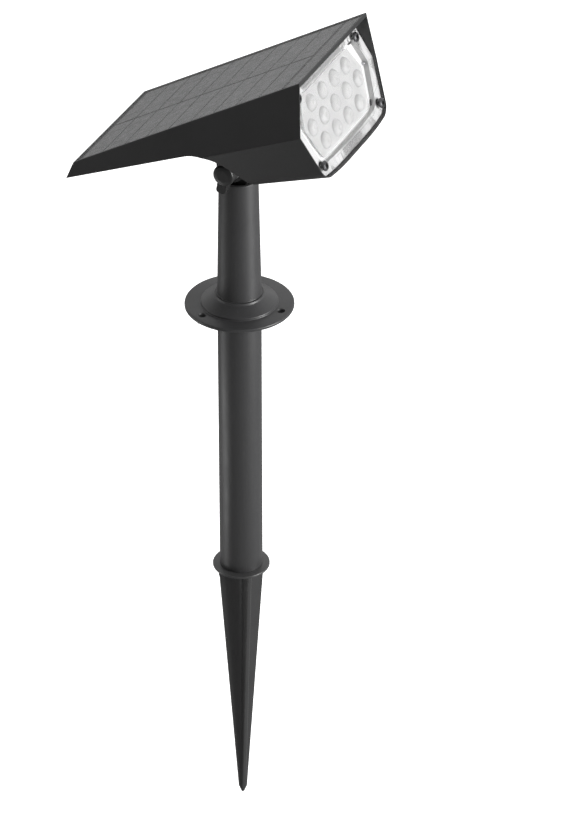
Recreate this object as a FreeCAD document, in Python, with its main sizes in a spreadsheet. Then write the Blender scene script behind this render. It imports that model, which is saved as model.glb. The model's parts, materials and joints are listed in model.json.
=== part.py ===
import FreeCAD, Part
import math
import os
import Sketcher

# A solar garden spotlight on a ground spike. Millimetres, +Z up, the lamp faces -Y.
# The origin is on the pole's axis, at the underside of the spike's ground collar.

DIMENSIONS = {
    # tube, spike and ground collar
    "tube_radius": 12.5, "tube_wall": 1.5, "tube_length": 175.5,
    "collar_radius": 16.7, "collar_thickness": 1.5,
    "slip_gap": 0.15, "plug_length": 24, "plug_wall": 2,
    "spike_depth": 167.5, "rib_reach": 13.9, "rib_tip_reach": 2.4, "rib_thickness": 2.6,
    "rib_tip_height": 4, "rib_tip_flat": 0.8, "core_tip_height": 2, "root_disc_step": 3,
    "core_radius": 3, "core_tip_radius": 1.5, "root_disc_radius": 9, "root_disc_height": 5,
    # upper pole with its flange
    "flange_radius": 31, "flange_thickness": 2, "flange_hole_radius": 1.95, "flange_hole_circle": 25.5,
    "boss_radius": 21.8, "boss_step": 1.4, "boss_height": 5.4, "bead_radius": 14.3, "bead_height": 1.8,
    "bead_shoulder": 0.6, "flange_rounding": 0.6, "flange_holes": 3,
    "pole_top_radius": 11.1, "pole_top_height": 259, "pole_wall": 2,
    # tilting hinge
    "hinge_height": 270, "tongue_radius": 7.4, "tongue_half": 5, "tongue_foot": 8,
    "tongue_sink": 4, "tongue_play": 0.05,
    "running_gap": 0.1, "bolt_radius": 2.5, "bolt_clearance": 0.08, "bolt_sink": 1.5, "washer_thickness": 1,
    "washer_radius": 6.5, "ear_thickness": 4.5, "ear_radius": 8.5, "bolt_head_height": 3.2,
    "bolt_head_radius": 4.6, "knob_hub_radius": 6.2, "knob_length": 9.5, "knob_wing_reach": 11.5,
    "knob_wing_half": 2.8, "knob_wing_start": 1.4, "knob_turned_back": 10, "wing_rounding": 1.2,
    "nut_radius": 3.7, "nut_length": 5,
    # head: distances along the panel from its rear edge, and depths below the panel
    "head_tilt": 30, "hinge_from_rear": 66.85, "hinge_below_panel": 42.44,
    "head_length": 156.5, "top_half": 45, "side_flare": 0.25, "chamfer_taper": 0.29,
    "fold_depth_rear": 11.07, "fold_slope": 0.1088, "rear_overhang": 8.4, "rear_depth": 6.7,
    "tail_depth": 8.14, "tail_slope": 0.1154, "slant_from_rear": 85.16,
    "belly_from_rear": 97.9, "belly_depth": 47.5, "nose_from_rear": 141, "nose_depth": 58.5,
    "rim_at_top": 148.38, "rim_slope": 0.126, "fold_front_depth": 26.8,
    "wall": 2.2, "clearance_radius": 26.7, "envelope_depth": 72, "envelope_front": 162,
    "envelope_rear": 12, "seam_gap": 0.15, "corner_radius": 8, "rear_wall_start": 3.5,
    "cutter_width": 160, "cutter_length": 260, "cutter_behind": 220,
    "wire_hole_along": 99, "wire_hole_radius": 3.5, "post_radius": 3, "pilot_radius": 1.2,
    # solar panel in the head's top
    "recess_depth": 1.6, "recess_margin": 1.5, "deck_thickness": 1.8, "backing_thickness": 0.8,
    "visor_edge": 2.1,
    "cell_thickness": 0.2, "cell_field_length": 139, "cell_gap": 0.8, "cell_columns_gap": 1.8,
    "panel_play": 0.15, "cells_start": 4, "cell_side_margin": 1, "cell_strips": 9,
    "ribbon_width": 1.2, "ribbon_thickness": 0.05, "collector_width": 9.5,
    "collector_gap": 1.6,
    # lens stack, measured inwards from the front rim
    "lens_centre_depth": 29, "lens_setback": 0.3, "lens_thickness": 1.8, "lens_bulge": 1.2,
    "gasket_thickness": 0.8, "ledge_thickness": 2.5, "ledge_width": 4, "board_thickness": 1.6,
    "lens_screw_x": 38.6, "lens_screw_top": 19.8, "lens_screw_low": 20.7, "lens_boss_radius": 3.2,
    "lens_boss_length": 8, "led_pitch_x": 15.3, "led_pitch_y": 11.35, "led_centre_y": 0.9,
    "led_half": 1.5, "led_thickness": 0.7, "lens_plate_thickness": 1,
    "dome_radius": 4.6, "dome_sink": 2.6, "dome_start_angle": 34,
    "plate_half": 39, "plate_shoulder": 31, "plate_top": 17.5, "plate_low": 19.5, "plate_waist": 2,
    "rim_wall": 0.7, "seat_draft": 0.17, "lens_corner": 2,
    "lens_play": 0.22, "lens_wall": 1.6, "lens_hole_radius": 1.7, "gasket_hole_radius": 1.8,
    "raised_half": 47, "raised_top": 21.4, "raised_low": 22.4, "raised_waist": 2,
    "notch_top": 13.5, "notch_top_end": 11, "notch_low": 14.5, "notch_low_end": 12,
    "board_play": 1.2, "board_screw_x": 44, "board_screw_y": 2, "board_hole_radius": 1.1,
    # battery, boards and button
    "cell_radius": 9.2, "cell_length": 65, "battery_along": 17.5, "battery_above": 19.8,
    "cradle_wall": 1.5, "cradle_half": 37, "floor_board_gap": 5.6, "floor_board_thickness": 1.2,
    "floor_board_half": 28, "floor_board_rear": 3, "floor_board_length": 27,
    "button_radius": 5.5, "button_travel": 1.2, "button_proud": 2, "button_along": 16,
    "switch_half": 3, "lead_radius": 0.7,
    "tab_thickness": 0.3, "tab_half": 3, "tab_reach": 6, "cradle_end": 2.5, "cradle_foot_half": 7,
    "board_post_radius": 2, "board_post_x": 24, "board_post_rear": 6, "board_post_front": 26,
    "button_lip": 1.2, "button_lip_thickness": 1, "button_stem_radius": 2, "button_stem": 1.6,
}

doc = FreeCAD.newDocument("solar_spotlight")


def make_sheet():
    """Put every driving dimension in a spreadsheet cell with its name as alias."""
    dims = doc.addObject("Spreadsheet::Sheet", "dims")
    for row, (name, value) in enumerate(DIMENSIONS.items(), start=1):
        cell = "B%d" % row
        dims.set("A%d" % row, name)
        dims.set(cell, str(value))
        dims.setAlias(cell, name)
    doc.recompute()
    return dims


sheet = make_sheet()
nodes = []


# ---------------------------------------------------------------- helpers

def bound(text):
    """Write an expression's dimension names as references to the sheet."""
    words = []
    word = ""
    for letter in text + " ":
        if letter.isalnum() or letter == "_":
            word += letter
            continue
        words.append("dims." + word if word in DIMENSIONS else word)
        words.append(letter)
        word = ""
    return "".join(words).strip()


def value(text):
    """The number an expression of the sheet's dimensions gives."""
    result = sheet.evalExpression(bound(str(text)))
    return float(getattr(result, "Value", result))


def bind(thing, **properties):
    """Bind properties of a document object to expressions of the sheet's dimensions."""
    for name, text in properties.items():
        thing.setExpression(name, bound(str(text)))
    return thing


def turned(x=0, y=0, z=0, about_x=0):
    """A placement at a point, turned about the lateral axis."""
    rotation = FreeCAD.Rotation(FreeCAD.Vector(1, 0, 0), about_x)
    return FreeCAD.Placement(FreeCAD.Vector(value(x), value(y), value(z)), rotation)


def keep(thing, name, placement=None):
    """Finish a sub-part: give it its node name and its place."""
    if placement is not None:
        thing.Placement = placement.multiply(thing.Placement)
    thing.Label = name
    nodes.append(thing)
    return thing


def primitive(kind, placement=None, **properties):
    """A Part primitive with bound sizes."""
    thing = doc.addObject("Part::" + kind, kind.lower())
    bind(thing, **properties)
    if placement is not None:
        thing.Placement = placement
    return thing


def boolean(kind, *shapes):
    """Cut the second from the first, or join or intersect several."""
    if kind == "Cut":
        thing = doc.addObject("Part::Cut", "cut")
        thing.Base = shapes[0]
        thing.Tool = shapes[1] if len(shapes) == 2 else boolean("MultiFuse", *shapes[1:])
    else:
        thing = doc.addObject("Part::" + kind, kind.lower())
        thing.Shapes = list(shapes)
    return thing


def group(*shapes):
    """Several separate solids in one node."""
    thing = doc.addObject("Part::Compound", "group")
    thing.Links = list(shapes)
    return thing


def along_x(x, y, z):
    """A placement for a cylinder that runs towards +X."""
    rotation = FreeCAD.Rotation(FreeCAD.Vector(0, 1, 0), 90)
    return FreeCAD.Placement(FreeCAD.Vector(value(x), value(y), value(z)), rotation)


def new_body(name):
    return doc.addObject("PartDesign::Body", name + "_body")


def new_sketch(body, plane, offset="0"):
    """A sketch on one of the body's own origin planes."""
    sketch = body.newObject("Sketcher::SketchObject", "sketch")
    support = [part for part in body.Origin.OriginFeatures if part.Role == plane + "_Plane"][0]
    sketch.AttachmentSupport = [(support, "")]
    sketch.MapMode = "FlatFace"
    sketch.setExpression("AttachmentOffset.Base.z", bound(offset))
    return sketch


def pin_point(sketch, index, end, x, y):
    """Fix a point of the sketch at bound distances from the origin."""
    for axis, text, line in (("DistanceX", x, -2), ("DistanceY", y, -1)):
        if abs(value(text)) < 1e-9:
            sketch.addConstraint(Sketcher.Constraint("PointOnObject", index, end, line))
            continue
        number = sketch.addConstraint(Sketcher.Constraint(axis, -1, 1, index, end, value(text)))
        sketch.setExpression("Constraints[%d]" % number, bound(text))


def outline(sketch, corners):
    """A closed outline of straight sides between corners given as expressions."""
    points = [FreeCAD.Vector(value(x), value(y), 0) for x, y in corners]
    count = len(points)
    first = sketch.GeometryCount
    for number in range(count):
        sketch.addGeometry(Part.LineSegment(points[number], points[(number + 1) % count]))
    for number in range(count):
        after = first + (number + 1) % count
        sketch.addConstraint(Sketcher.Constraint("Coincident", first + number, 2, after, 1))
    for number, (x, y) in enumerate(corners):
        pin_point(sketch, first + number, 1, str(x), str(y))
    return sketch


def ring(sketch, x, y, radius):
    """A circle with a bound centre and radius."""
    centre = FreeCAD.Vector(value(x), value(y), 0)
    circle = Part.Circle(centre, FreeCAD.Vector(0, 0, 1), value(radius))
    index = sketch.addGeometry(circle)
    pin_point(sketch, index, 3, str(x), str(y))
    number = sketch.addConstraint(Sketcher.Constraint("Radius", index, value(radius)))
    sketch.setExpression("Constraints[%d]" % number, bound(radius))
    return sketch


def pad(body, sketch, length, side="One side", reverse=False):
    """Extrude a sketch; "Symmetric" takes the whole length."""
    feature = body.newObject("PartDesign::Pad", "pad")
    feature.Profile = sketch
    feature.SideType = side
    feature.Reversed = reverse
    bind(feature, Length=length)
    return feature


def revolve(body, sketch):
    """Turn a sketch on the XZ plane once around the body's Z axis."""
    feature = body.newObject("PartDesign::Revolution", "turn")
    feature.Profile = sketch
    feature.ReferenceAxis = (sketch, ["V_Axis"])
    feature.Angle = 360
    return feature


def pocket(body, sketch, length, side="Symmetric"):
    """Cut a sketch out of the body and make sure that it really cuts."""
    doc.recompute()
    before = body.Shape.Volume
    feature = body.newObject("PartDesign::Pocket", "pocket")
    feature.Profile = sketch
    feature.SideType = side
    bind(feature, Length=length)
    doc.recompute()
    if body.Shape.Volume > before - 1e-6:
        raise RuntimeError("a pocket of %s cuts nothing" % body.Name)
    return feature


def edges_at(shape, test):
    """Names of the edges whose middle passes a test."""
    names = []
    for number, edge in enumerate(shape.Edges, start=1):
        middle = edge.valueAt((edge.FirstParameter + edge.LastParameter) / 2)
        if test(middle, edge):
            names.append("Edge%d" % number)
    return names


def round_edges(body, radius, test):
    """Round the edges of the body's last feature that pass a test."""
    doc.recompute()
    last = body.Tip
    names = edges_at(last.Shape, test)
    feature = body.newObject("PartDesign::Fillet", "fillet")
    feature.Base = (last, names)
    bind(feature, Radius=radius)
    return feature


def upright(edge):
    """True for a straight edge along the body's Z axis."""
    return edge.Curve.TypeId == "Part::GeomLine" and abs(edge.tangentAt(edge.FirstParameter).z) > 0.999


def lateral(edge):
    """True for a straight edge along the body's X axis."""
    return edge.Curve.TypeId == "Part::GeomLine" and abs(edge.tangentAt(edge.FirstParameter).x) > 0.999


# ---------------------------------------------------------------- frames of the head

def head_frame():
    """From the rear edge of the panel: +X lateral, -Y along the panel, -Z below it."""
    hinge = turned(z="hinge_height", about_x=-value("head_tilt"))
    return hinge.multiply(turned(y="hinge_from_rear", z="hinge_below_panel"))


def lens_frame():
    """From the middle of the front rim: +X lateral, +Y up the lens, +Z out of the head."""
    forward = "rim_at_top - rim_slope * lens_centre_depth"
    lean = math.degrees(math.atan(value("rim_slope")))
    return head_frame().multiply(turned(y="-(%s)" % forward, z="-lens_centre_depth", about_x=90 + lean))


def belly_lean():
    """The angle between the belly's flat floor and the panel."""
    rise = value("nose_depth - belly_depth")
    return math.degrees(math.atan(rise / value("nose_from_rear - belly_from_rear")))


def floor_frame():
    """From the rear corner of the belly: +X lateral, +Y forward along it, +Z out of it."""
    return head_frame().multiply(turned(y="-belly_from_rear", z="-belly_depth", about_x=180 + belly_lean()))


def in_head(x, along, below):
    """A point of the room from its lateral place, distance along the panel and depth below it."""
    return head_frame().multVec(FreeCAD.Vector(value(x), -value(along), -value(below)))


# ---------------------------------------------------------------- spike, tube and pole

def ground_spike():
    """The spike: collar, hollow plug for the tube's end, slender core and four tapering ribs."""
    body = new_body("ground_spike")
    plug = "(tube_radius - tube_wall - slip_gap)"
    sketch = new_sketch(body, "XZ")
    outline(sketch, [
        ("0", "-spike_depth + core_tip_height"), ("core_tip_radius", "-spike_depth + core_tip_height"),
        ("core_radius", "-root_disc_height"), ("root_disc_radius - root_disc_step", "-root_disc_height"),
        ("root_disc_radius - root_disc_step", "-root_disc_height / 2"),
        ("root_disc_radius", "-root_disc_height / 2"),
        ("root_disc_radius", "0"), ("collar_radius", "0"), ("collar_radius", "collar_thickness"),
        (plug, "collar_thickness"), (plug, "collar_thickness + plug_length"),
        (plug + " - plug_wall", "collar_thickness + plug_length"),
        (plug + " - plug_wall", "collar_thickness"), ("0", "collar_thickness")])
    revolve(body, sketch)
    for plane in ("XZ", "YZ"):
        sketch = new_sketch(body, plane)
        outline(sketch, [
            ("rib_reach", "0"), ("rib_tip_reach", "-spike_depth + rib_tip_height"),
            ("rib_tip_flat", "-spike_depth"), ("-rib_tip_flat", "-spike_depth"),
            ("-rib_tip_reach", "-spike_depth + rib_tip_height"), ("-rib_reach", "0")])
        pad(body, sketch, "rib_thickness", "Symmetric")
    diagonal = FreeCAD.Rotation(FreeCAD.Vector(0, 0, 1), 45)
    keep(body, "ground_spike", FreeCAD.Placement(FreeCAD.Vector(), diagonal))


def extension_tube():
    """The plain tube between the spike's collar and the pole's flange."""
    outer = primitive("Cylinder", turned(z="collar_thickness"), Radius="tube_radius", Height="tube_length")
    inner = primitive("Cylinder", turned(z="collar_thickness - 1"), Radius="tube_radius - tube_wall",
                      Height="tube_length + 2")
    keep(boolean("Cut", outer, inner), "extension_tube")


def upper_pole():
    """The tapered pole, its screw flange with a raised cone, and the plug in the tube."""
    body = new_body("upper_pole")
    seat = "(collar_thickness + tube_length)"
    top = "(%s + flange_thickness)" % seat
    plug = "(tube_radius - tube_wall - slip_gap)"
    sketch = new_sketch(body, "XZ")
    outline(sketch, [
        (plug + " - plug_wall", seat + " - plug_length"), (plug, seat + " - plug_length"), (plug, seat),
        ("flange_radius", seat), ("flange_radius", top), ("boss_radius", top),
        ("boss_radius", top + " + boss_step"), ("bead_radius", top + " + boss_height"),
        ("bead_radius", top + " + boss_height + bead_height"),
        ("tube_radius", top + " + boss_height + bead_height + bead_shoulder"),
        ("pole_top_radius", "pole_top_height"), ("pole_top_radius - pole_wall", "pole_top_height"),
        (plug + " - plug_wall", seat)])
    revolve(body, sketch)
    rim = value(seat) + value("flange_thickness")
    near_rim = value("0.99 * flange_radius")
    round_edges(body, "flange_rounding", lambda middle, edge: math.hypot(middle.x, middle.y) > near_rim
                and abs(middle.z - rim) < 0.01)
    count = int(value("flange_holes"))
    for number in range(count):
        angle = 360 * number / count - 90
        hole = new_sketch(body, "XY")
        ring(hole, "flange_hole_circle * cos(%g deg)" % angle, "flange_hole_circle * sin(%g deg)" % angle,
             "flange_hole_radius")
        pocket(body, hole, "2 * pole_top_height")
    keep(body, "upper_pole")


def hinge_tongue():
    """The plug in the pole's mouth with the flat tongue that the head tilts on."""
    body = new_body("hinge_tongue")
    sketch = new_sketch(body, "YZ")
    reach = "tongue_radius"
    foot = "(pole_top_height - hinge_height - tongue_sink)"
    outline(sketch, [("-" + reach, "0"), ("-" + reach, foot), (reach, foot), (reach, "0")])
    pad(body, sketch, "2 * tongue_half", "Symmetric")
    round_top = new_sketch(body, "YZ")
    ring(round_top, "0", "0", reach)
    pad(body, round_top, "2 * tongue_half", "Symmetric")
    plug = new_sketch(body, "XY", foot)
    ring(plug, "0", "0", "pole_top_radius - pole_wall - tongue_play")
    pad(body, plug, "tongue_foot", reverse=True)
    bore = new_sketch(body, "YZ")
    ring(bore, "0", "0", "bolt_radius + bolt_clearance")
    pocket(body, bore, "4 * tongue_half")
    keep(body, "hinge_tongue", turned(z="hinge_height"))


# ---------------------------------------------------------------- hinge hardware

EAR_INSIDE = "(tongue_half + running_gap + washer_thickness)"
EAR_OUTSIDE = "(tongue_half + running_gap + washer_thickness + ear_thickness)"
KNOB_INSIDE = "(%s + 2 * running_gap + washer_thickness)" % EAR_OUTSIDE


def hinge_bolt():
    """The bolt through both ears, its six-sided head on the +X side."""
    shank = primitive("Cylinder", along_x("-%s - knob_length + bolt_sink" % KNOB_INSIDE, 0, "hinge_height"),
                      Radius="bolt_radius",
                      Height=KNOB_INSIDE + " + knob_length - bolt_sink + " + EAR_OUTSIDE)
    head = primitive("Prism", along_x(EAR_OUTSIDE, 0, "hinge_height"),
                     Circumradius="bolt_head_radius", Height="bolt_head_height")
    head.Polygon = 6
    keep(boolean("MultiFuse", shank, head), "hinge_bolt")


def washer(x):
    """A flat washer on the hinge axis, from x towards +X."""
    disc = primitive("Cylinder", along_x(x, 0, "hinge_height"), Radius="washer_radius",
                     Height="washer_thickness")
    hole = primitive("Cylinder", along_x(x + " - 1", 0, "hinge_height"),
                     Radius="bolt_radius + bolt_clearance", Height="washer_thickness + 2")
    return boolean("Cut", disc, hole)


def washers():
    """Two friction washers beside the tongue, and one plain washer under the knob."""
    near = washer("-" + EAR_INSIDE)
    far = washer("tongue_half + running_gap")
    keep(group(near, far), "friction_washers")
    keep(washer("-%s - running_gap - washer_thickness" % EAR_OUTSIDE), "knob_washer")


def wing_knob():
    """The knob that clamps the hinge: a round hub with two flat wings and a blind bolt hole."""
    body = new_body("wing_knob")
    hub = new_sketch(body, "YZ")
    ring(hub, "0", "0", "knob_hub_radius")
    pad(body, hub, "knob_length", reverse=True)
    wings = new_sketch(body, "YZ", "-knob_wing_start")
    outline(wings, [("-knob_wing_half", "-knob_wing_reach"), ("knob_wing_half", "-knob_wing_reach"),
                    ("knob_wing_half", "knob_wing_reach"), ("-knob_wing_half", "knob_wing_reach")])
    pad(body, wings, "knob_length - 2 * knob_wing_start", reverse=True)
    round_edges(body, "wing_rounding",
                lambda middle, edge: abs(abs(middle.y) - value("knob_wing_half")) < 1e-3
                and abs(abs(middle.z) - value("knob_wing_reach")) < 1e-3)
    seat = new_sketch(body, "YZ")
    ring(seat, "0", "0", "nut_radius")
    pocket(body, seat, "2 * nut_length")
    bore = new_sketch(body, "YZ")
    ring(bore, "0", "0", "bolt_radius + 4 * bolt_clearance")
    pocket(body, bore, "4 * knob_length")
    turned_back = -value("knob_turned_back")
    keep(body, "wing_knob", turned(x="-" + KNOB_INSIDE, z="hinge_height", about_x=turned_back))


def knob_nut():
    """The threaded brass bush pressed into the knob."""
    bush = primitive("Cylinder", along_x("-%s - nut_length" % KNOB_INSIDE, 0, "hinge_height"),
                     Radius="nut_radius", Height="nut_length")
    hole = primitive("Cylinder", along_x("-%s - nut_length - 1" % KNOB_INSIDE, 0, "hinge_height"),
                     Radius="bolt_radius + bolt_clearance", Height="nut_length + 2")
    keep(boolean("Cut", bush, hole), "knob_nut")


# ---------------------------------------------------------------- head housing

def head_profile():
    """The solid head seen from the side, as one wide extrusion."""
    body = new_body("head_profile")
    sketch = new_sketch(body, "YZ")
    fold_front = "(rim_at_top - rim_slope * fold_front_depth)"
    outline(sketch, [
        ("0", "0"), ("rear_overhang", "-rear_depth"),
        ("-slant_from_rear", "-(tail_depth + tail_slope * slant_from_rear)"),
        ("-belly_from_rear", "-belly_depth"), ("-nose_from_rear", "-nose_depth"),
        ("-" + fold_front, "-fold_front_depth"), ("-head_length", "0")])
    pad(body, sketch, "cutter_width", "Symmetric")
    inner_corner = value("slant_from_rear")
    round_edges(body, "clearance_radius",
                lambda middle, edge: lateral(edge) and abs(middle.y + inner_corner) < 0.01)
    return body


def cavity_profile(wall="wall"):
    """The same outline moved inwards by a wall's thickness, open to the front."""
    body = new_body("cavity_profile")
    sketch = new_sketch(body, "YZ")
    corner = "(slant_from_rear + 0.7 * %s)" % wall
    corner_depth = "(tail_depth - %s + tail_slope * %s)" % (wall, corner)
    belly = "(belly_from_rear + 1.1 * %s)" % wall
    belly_slope = "((nose_depth - belly_depth) / (nose_from_rear - belly_from_rear))"
    floor = "(belly_depth - 1.05 * %s)" % wall
    outline(sketch, [
        ("rear_overhang", "10"), ("rear_overhang", "-(tail_depth - %s - tail_slope * rear_overhang)" % wall),
        ("-" + corner, "-" + corner_depth),
        ("-" + belly, "-(%s + %s * 1.1 * %s)" % (floor, belly_slope, wall)),
        ("-cutter_behind", "-(%s + %s * (cutter_behind - belly_from_rear))" % (floor, belly_slope)),
        ("-cutter_behind", "10")])
    pad(body, sketch, "cutter_width", "Symmetric")
    inner_corner = value(corner)
    round_edges(body, "clearance_radius + " + wall,
                lambda middle, edge: lateral(edge) and abs(middle.y + inner_corner) < 0.01)
    return body


def cross_section(inset, rear, front):
    """The head's six-sided section from one distance along the panel to another."""
    body = new_body("section")
    inset = "(%s)" % inset
    sketches = []
    for along in (rear, front):
        fold = "(fold_depth_rear + fold_slope * (%s))" % along
        fold_half = "(top_half + side_flare * %s)" % fold
        top = "(top_half - %s)" % inset
        low = "(%s - chamfer_taper * (envelope_depth - %s) - %s)" % (fold_half, fold, inset)
        middle = "(%s - %s)" % (fold_half, inset)
        sketch = new_sketch(body, "XZ", along)
        outline(sketch, [(top, "0"), (middle, "-" + fold), (low, "-envelope_depth"),
                         ("-" + low, "-envelope_depth"), ("-" + middle, "-" + fold), ("-" + top, "0")])
        sketches.append(sketch)
    loft = body.newObject("PartDesign::AdditiveLoft", "loft")
    loft.Profile = sketches[0]
    loft.Sections = [sketches[1]]
    loft.Ruled = True
    return body


def slab(low, high):
    """A wide box between two depths below the panel."""
    return primitive("Box", turned(x="-cutter_width / 2", y="-cutter_behind", z="-(%s)" % high),
                     Length="cutter_width", Width="cutter_length", Height="(%s) - (%s)" % (high, low))


def above_fold(gap):
    """A wide block above the plane of the fold, moved up by a gap."""
    lean = math.degrees(math.atan(value("fold_slope")))
    place = turned(x="-cutter_width / 2", z="-fold_depth_rear + %s" % gap)
    place = place.multiply(turned(about_x=lean)).multiply(turned(y="-cutter_behind"))
    return primitive("Box", place, Length="cutter_width", Width="cutter_length", Height="head_length / 2")


def lens_local(x, y, z):
    """A placement in the head's own frame for something on the lens axis frame."""
    lean = math.degrees(math.atan(value("rim_slope")))
    forward = "rim_at_top - rim_slope * lens_centre_depth"
    frame = turned(y="-(%s)" % forward, z="-lens_centre_depth", about_x=90 + lean)
    return frame.multiply(turned(x=x, y=y, z=z))


def lens_slab(near, far):
    """A wide block between two depths behind the front rim's plane."""
    place = lens_local("-cutter_length / 2", "-cutter_length / 2", "-(%s)" % far)
    return primitive("Box", place, Length="cutter_length", Width="cutter_length",
                     Height="(%s) - (%s)" % (far, near))


def round_low_corners(shape, radius):
    """Round the two corners between the belly's floor and its leaning sides."""
    doc.recompute()
    edges = []
    for number, edge in enumerate(shape.Shape.Edges, start=1):
        middle = edge.valueAt((edge.FirstParameter + edge.LastParameter) / 2)
        forward = abs(edge.tangentAt(edge.FirstParameter).y)
        low = middle.z < -value("belly_depth - wall") and middle.y < -value("belly_from_rear")
        if low and forward > 0.8 and abs(middle.x) > value("top_half - 3 * wall"):
            edges.append((number, value(radius), value(radius)))
    if len(edges) != 2:
        raise RuntimeError("found %d low corners, not 2" % len(edges))
    rounded = doc.addObject("Part::Fillet", "low_corners")
    rounded.Base = shape
    rounded.Edges = edges
    return rounded


SEAT = "(lens_setback + lens_thickness + gasket_thickness)"
LEDGE_BACK = "(%s + ledge_thickness)" % SEAT


def aperture():
    """What is hollow in front: the lens pocket, and a narrower window through the ledge."""
    ahead = "-head_length / 4"
    deck = "(recess_depth + deck_thickness)"
    pocket_part = boolean("MultiCommon", cross_section("rim_wall", "belly_from_rear", "envelope_front"),
                          cavity_profile("rim_wall"), lens_slab(ahead, SEAT))
    window = boolean("MultiCommon", cross_section("wall + ledge_width", "belly_from_rear", "envelope_front"),
                     cavity_profile(), lens_slab(ahead, LEDGE_BACK + " + 1"),
                     slab("ledge_width + " + deck, "nose_depth - wall - ledge_width"))
    return round_low_corners(pocket_part, "corner_radius - rim_wall"), window


def visor_relief(pocket_part, deck):
    """The shallow wedge that thins the visor from the lens to its front edge."""
    body = new_body("visor_relief")
    sketch = new_sketch(body, "YZ")
    slope = "((%s - visor_edge) / (head_length - rim_at_top))" % deck
    front = "(%s - %s * (envelope_front - rim_at_top))" % (deck, slope)
    outline(sketch, [("-rim_at_top", "-" + deck), ("-envelope_front", "-" + front),
                     ("-envelope_front", "-" + deck)])
    pad(body, sketch, "cutter_width", "Symmetric")
    return boolean("MultiCommon", pocket_part, body)


def lens_bosses(rows):
    """Posts behind the ledge that the lens screws bite into, and the pilot holes in them."""
    posts = []
    holes = []
    for y in rows:
        for side in (-1, 1):
            x = "%d * lens_screw_x" % side
            posts.append(primitive("Cylinder", lens_local(x, y, "-%s - lens_boss_length" % LEDGE_BACK),
                                   Radius="lens_boss_radius", Height="lens_boss_length + 1"))
            holes.append(primitive("Cylinder", lens_local(x, y, "-%s - lens_boss_length + 1" % LEDGE_BACK),
                                   Radius="pilot_radius", Height="lens_boss_length + 6"))
    return posts, holes


# distance along the panel, distance from the middle, and length of each pair of housing screws
HOUSING_SCREWS = [("12", "33", "6"), ("60", "34", "9")]


def housing_screw_place(along, half, below):
    """A placement in the head's frame, square to the tail's underside, pointing down."""
    lean = math.degrees(math.atan(value("tail_slope")))
    return turned(x=half, y="-(%s)" % along, z="-(%s)" % below, about_x=180 + lean)


def upper_housing():
    """The top shell: panel recess, deck, visor, side walls and rear wall, open below."""
    solid = boolean("MultiCommon", head_profile(), cross_section("0", "-envelope_rear", "envelope_front"),
                    above_fold("0.05"))
    deck = "(recess_depth + deck_thickness)"
    behind = boolean("MultiCommon", cross_section("wall", "-rear_wall_start", "envelope_front"),
                     slab(deck, "envelope_depth"), lens_slab(LEDGE_BACK, "cutter_length"))
    pocket_part, window = aperture()
    recess = primitive("Box", turned(x="-top_half + recess_margin", y="-head_length + recess_margin",
                                     z="-recess_depth"),
                       Length="2 * (top_half - recess_margin)", Width="head_length - 2 * recess_margin",
                       Height="recess_depth + 1")
    wire_hole = primitive("Cylinder", turned(y="-wire_hole_along", z="-2 * " + deck),
                          Radius="wire_hole_radius", Height="3 * " + deck)
    front = boolean("MultiCommon", pocket_part, slab(deck, "envelope_depth"))
    shell = boolean("Cut", solid, behind, front, visor_relief(pocket_part, deck), window, recess, wire_hole)
    posts, pilots = lens_bosses(["lens_screw_top"])
    for along, half, length in HOUSING_SCREWS:
        floor = "(tail_depth - wall + tail_slope * %s - 0.5)" % along
        for side in (-1, 1):
            x = "%d * %s" % (side, half)
            posts.append(primitive("Cylinder", turned(x=x, y="-" + along, z="-" + floor),
                                   Radius="post_radius", Height=floor + " - recess_depth - 0.5"))
            start = housing_screw_place(along, x, "tail_depth + tail_slope * %s - 1" % along)
            pilots.append(primitive("Cylinder", start.multiply(turned(z="-%s - 0.3" % length)),
                                    Radius="pilot_radius", Height="20"))
    kept_below = slab("recess_depth + 0.2", "envelope_depth")
    posts = [boolean("MultiCommon", boolean("MultiFuse", *posts), kept_below)]
    keep(boolean("Cut", boolean("MultiFuse", shell, *posts), *pilots), "upper_housing", head_frame())


EAR_ROOT_ANGLES = (-8, -30, -52)
EAR_SIDE_ANGLES = (-118, 58)
EAR_BITE = "1.1"


def hinge_ears():
    """The two ears that hang from the lower housing around the hinge axis."""
    ears = []
    for side in (-1, 1):
        body = new_body("ear")
        start = EAR_INSIDE if side > 0 else "-" + EAR_OUTSIDE
        sketch = new_sketch(body, "YZ", start)
        corners = []
        reaches = [("(clearance_radius + %s)" % EAR_BITE, angle) for angle in EAR_ROOT_ANGLES]
        reaches += [("ear_radius", angle) for angle in EAR_SIDE_ANGLES]
        for reach, angle in reaches:
            corners.append(("%s * sin(%g deg)" % (reach, angle), "%s * cos(%g deg)" % (reach, angle)))
        outline(sketch, corners)
        pad(body, sketch, "ear_thickness")
        end = new_sketch(body, "YZ", start)
        ring(end, "0", "0", "ear_radius")
        pad(body, end, "ear_thickness")
        body.Placement = turned(y="-hinge_from_rear", z="-hinge_below_panel")
        ears.append(body)
    return ears


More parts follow.
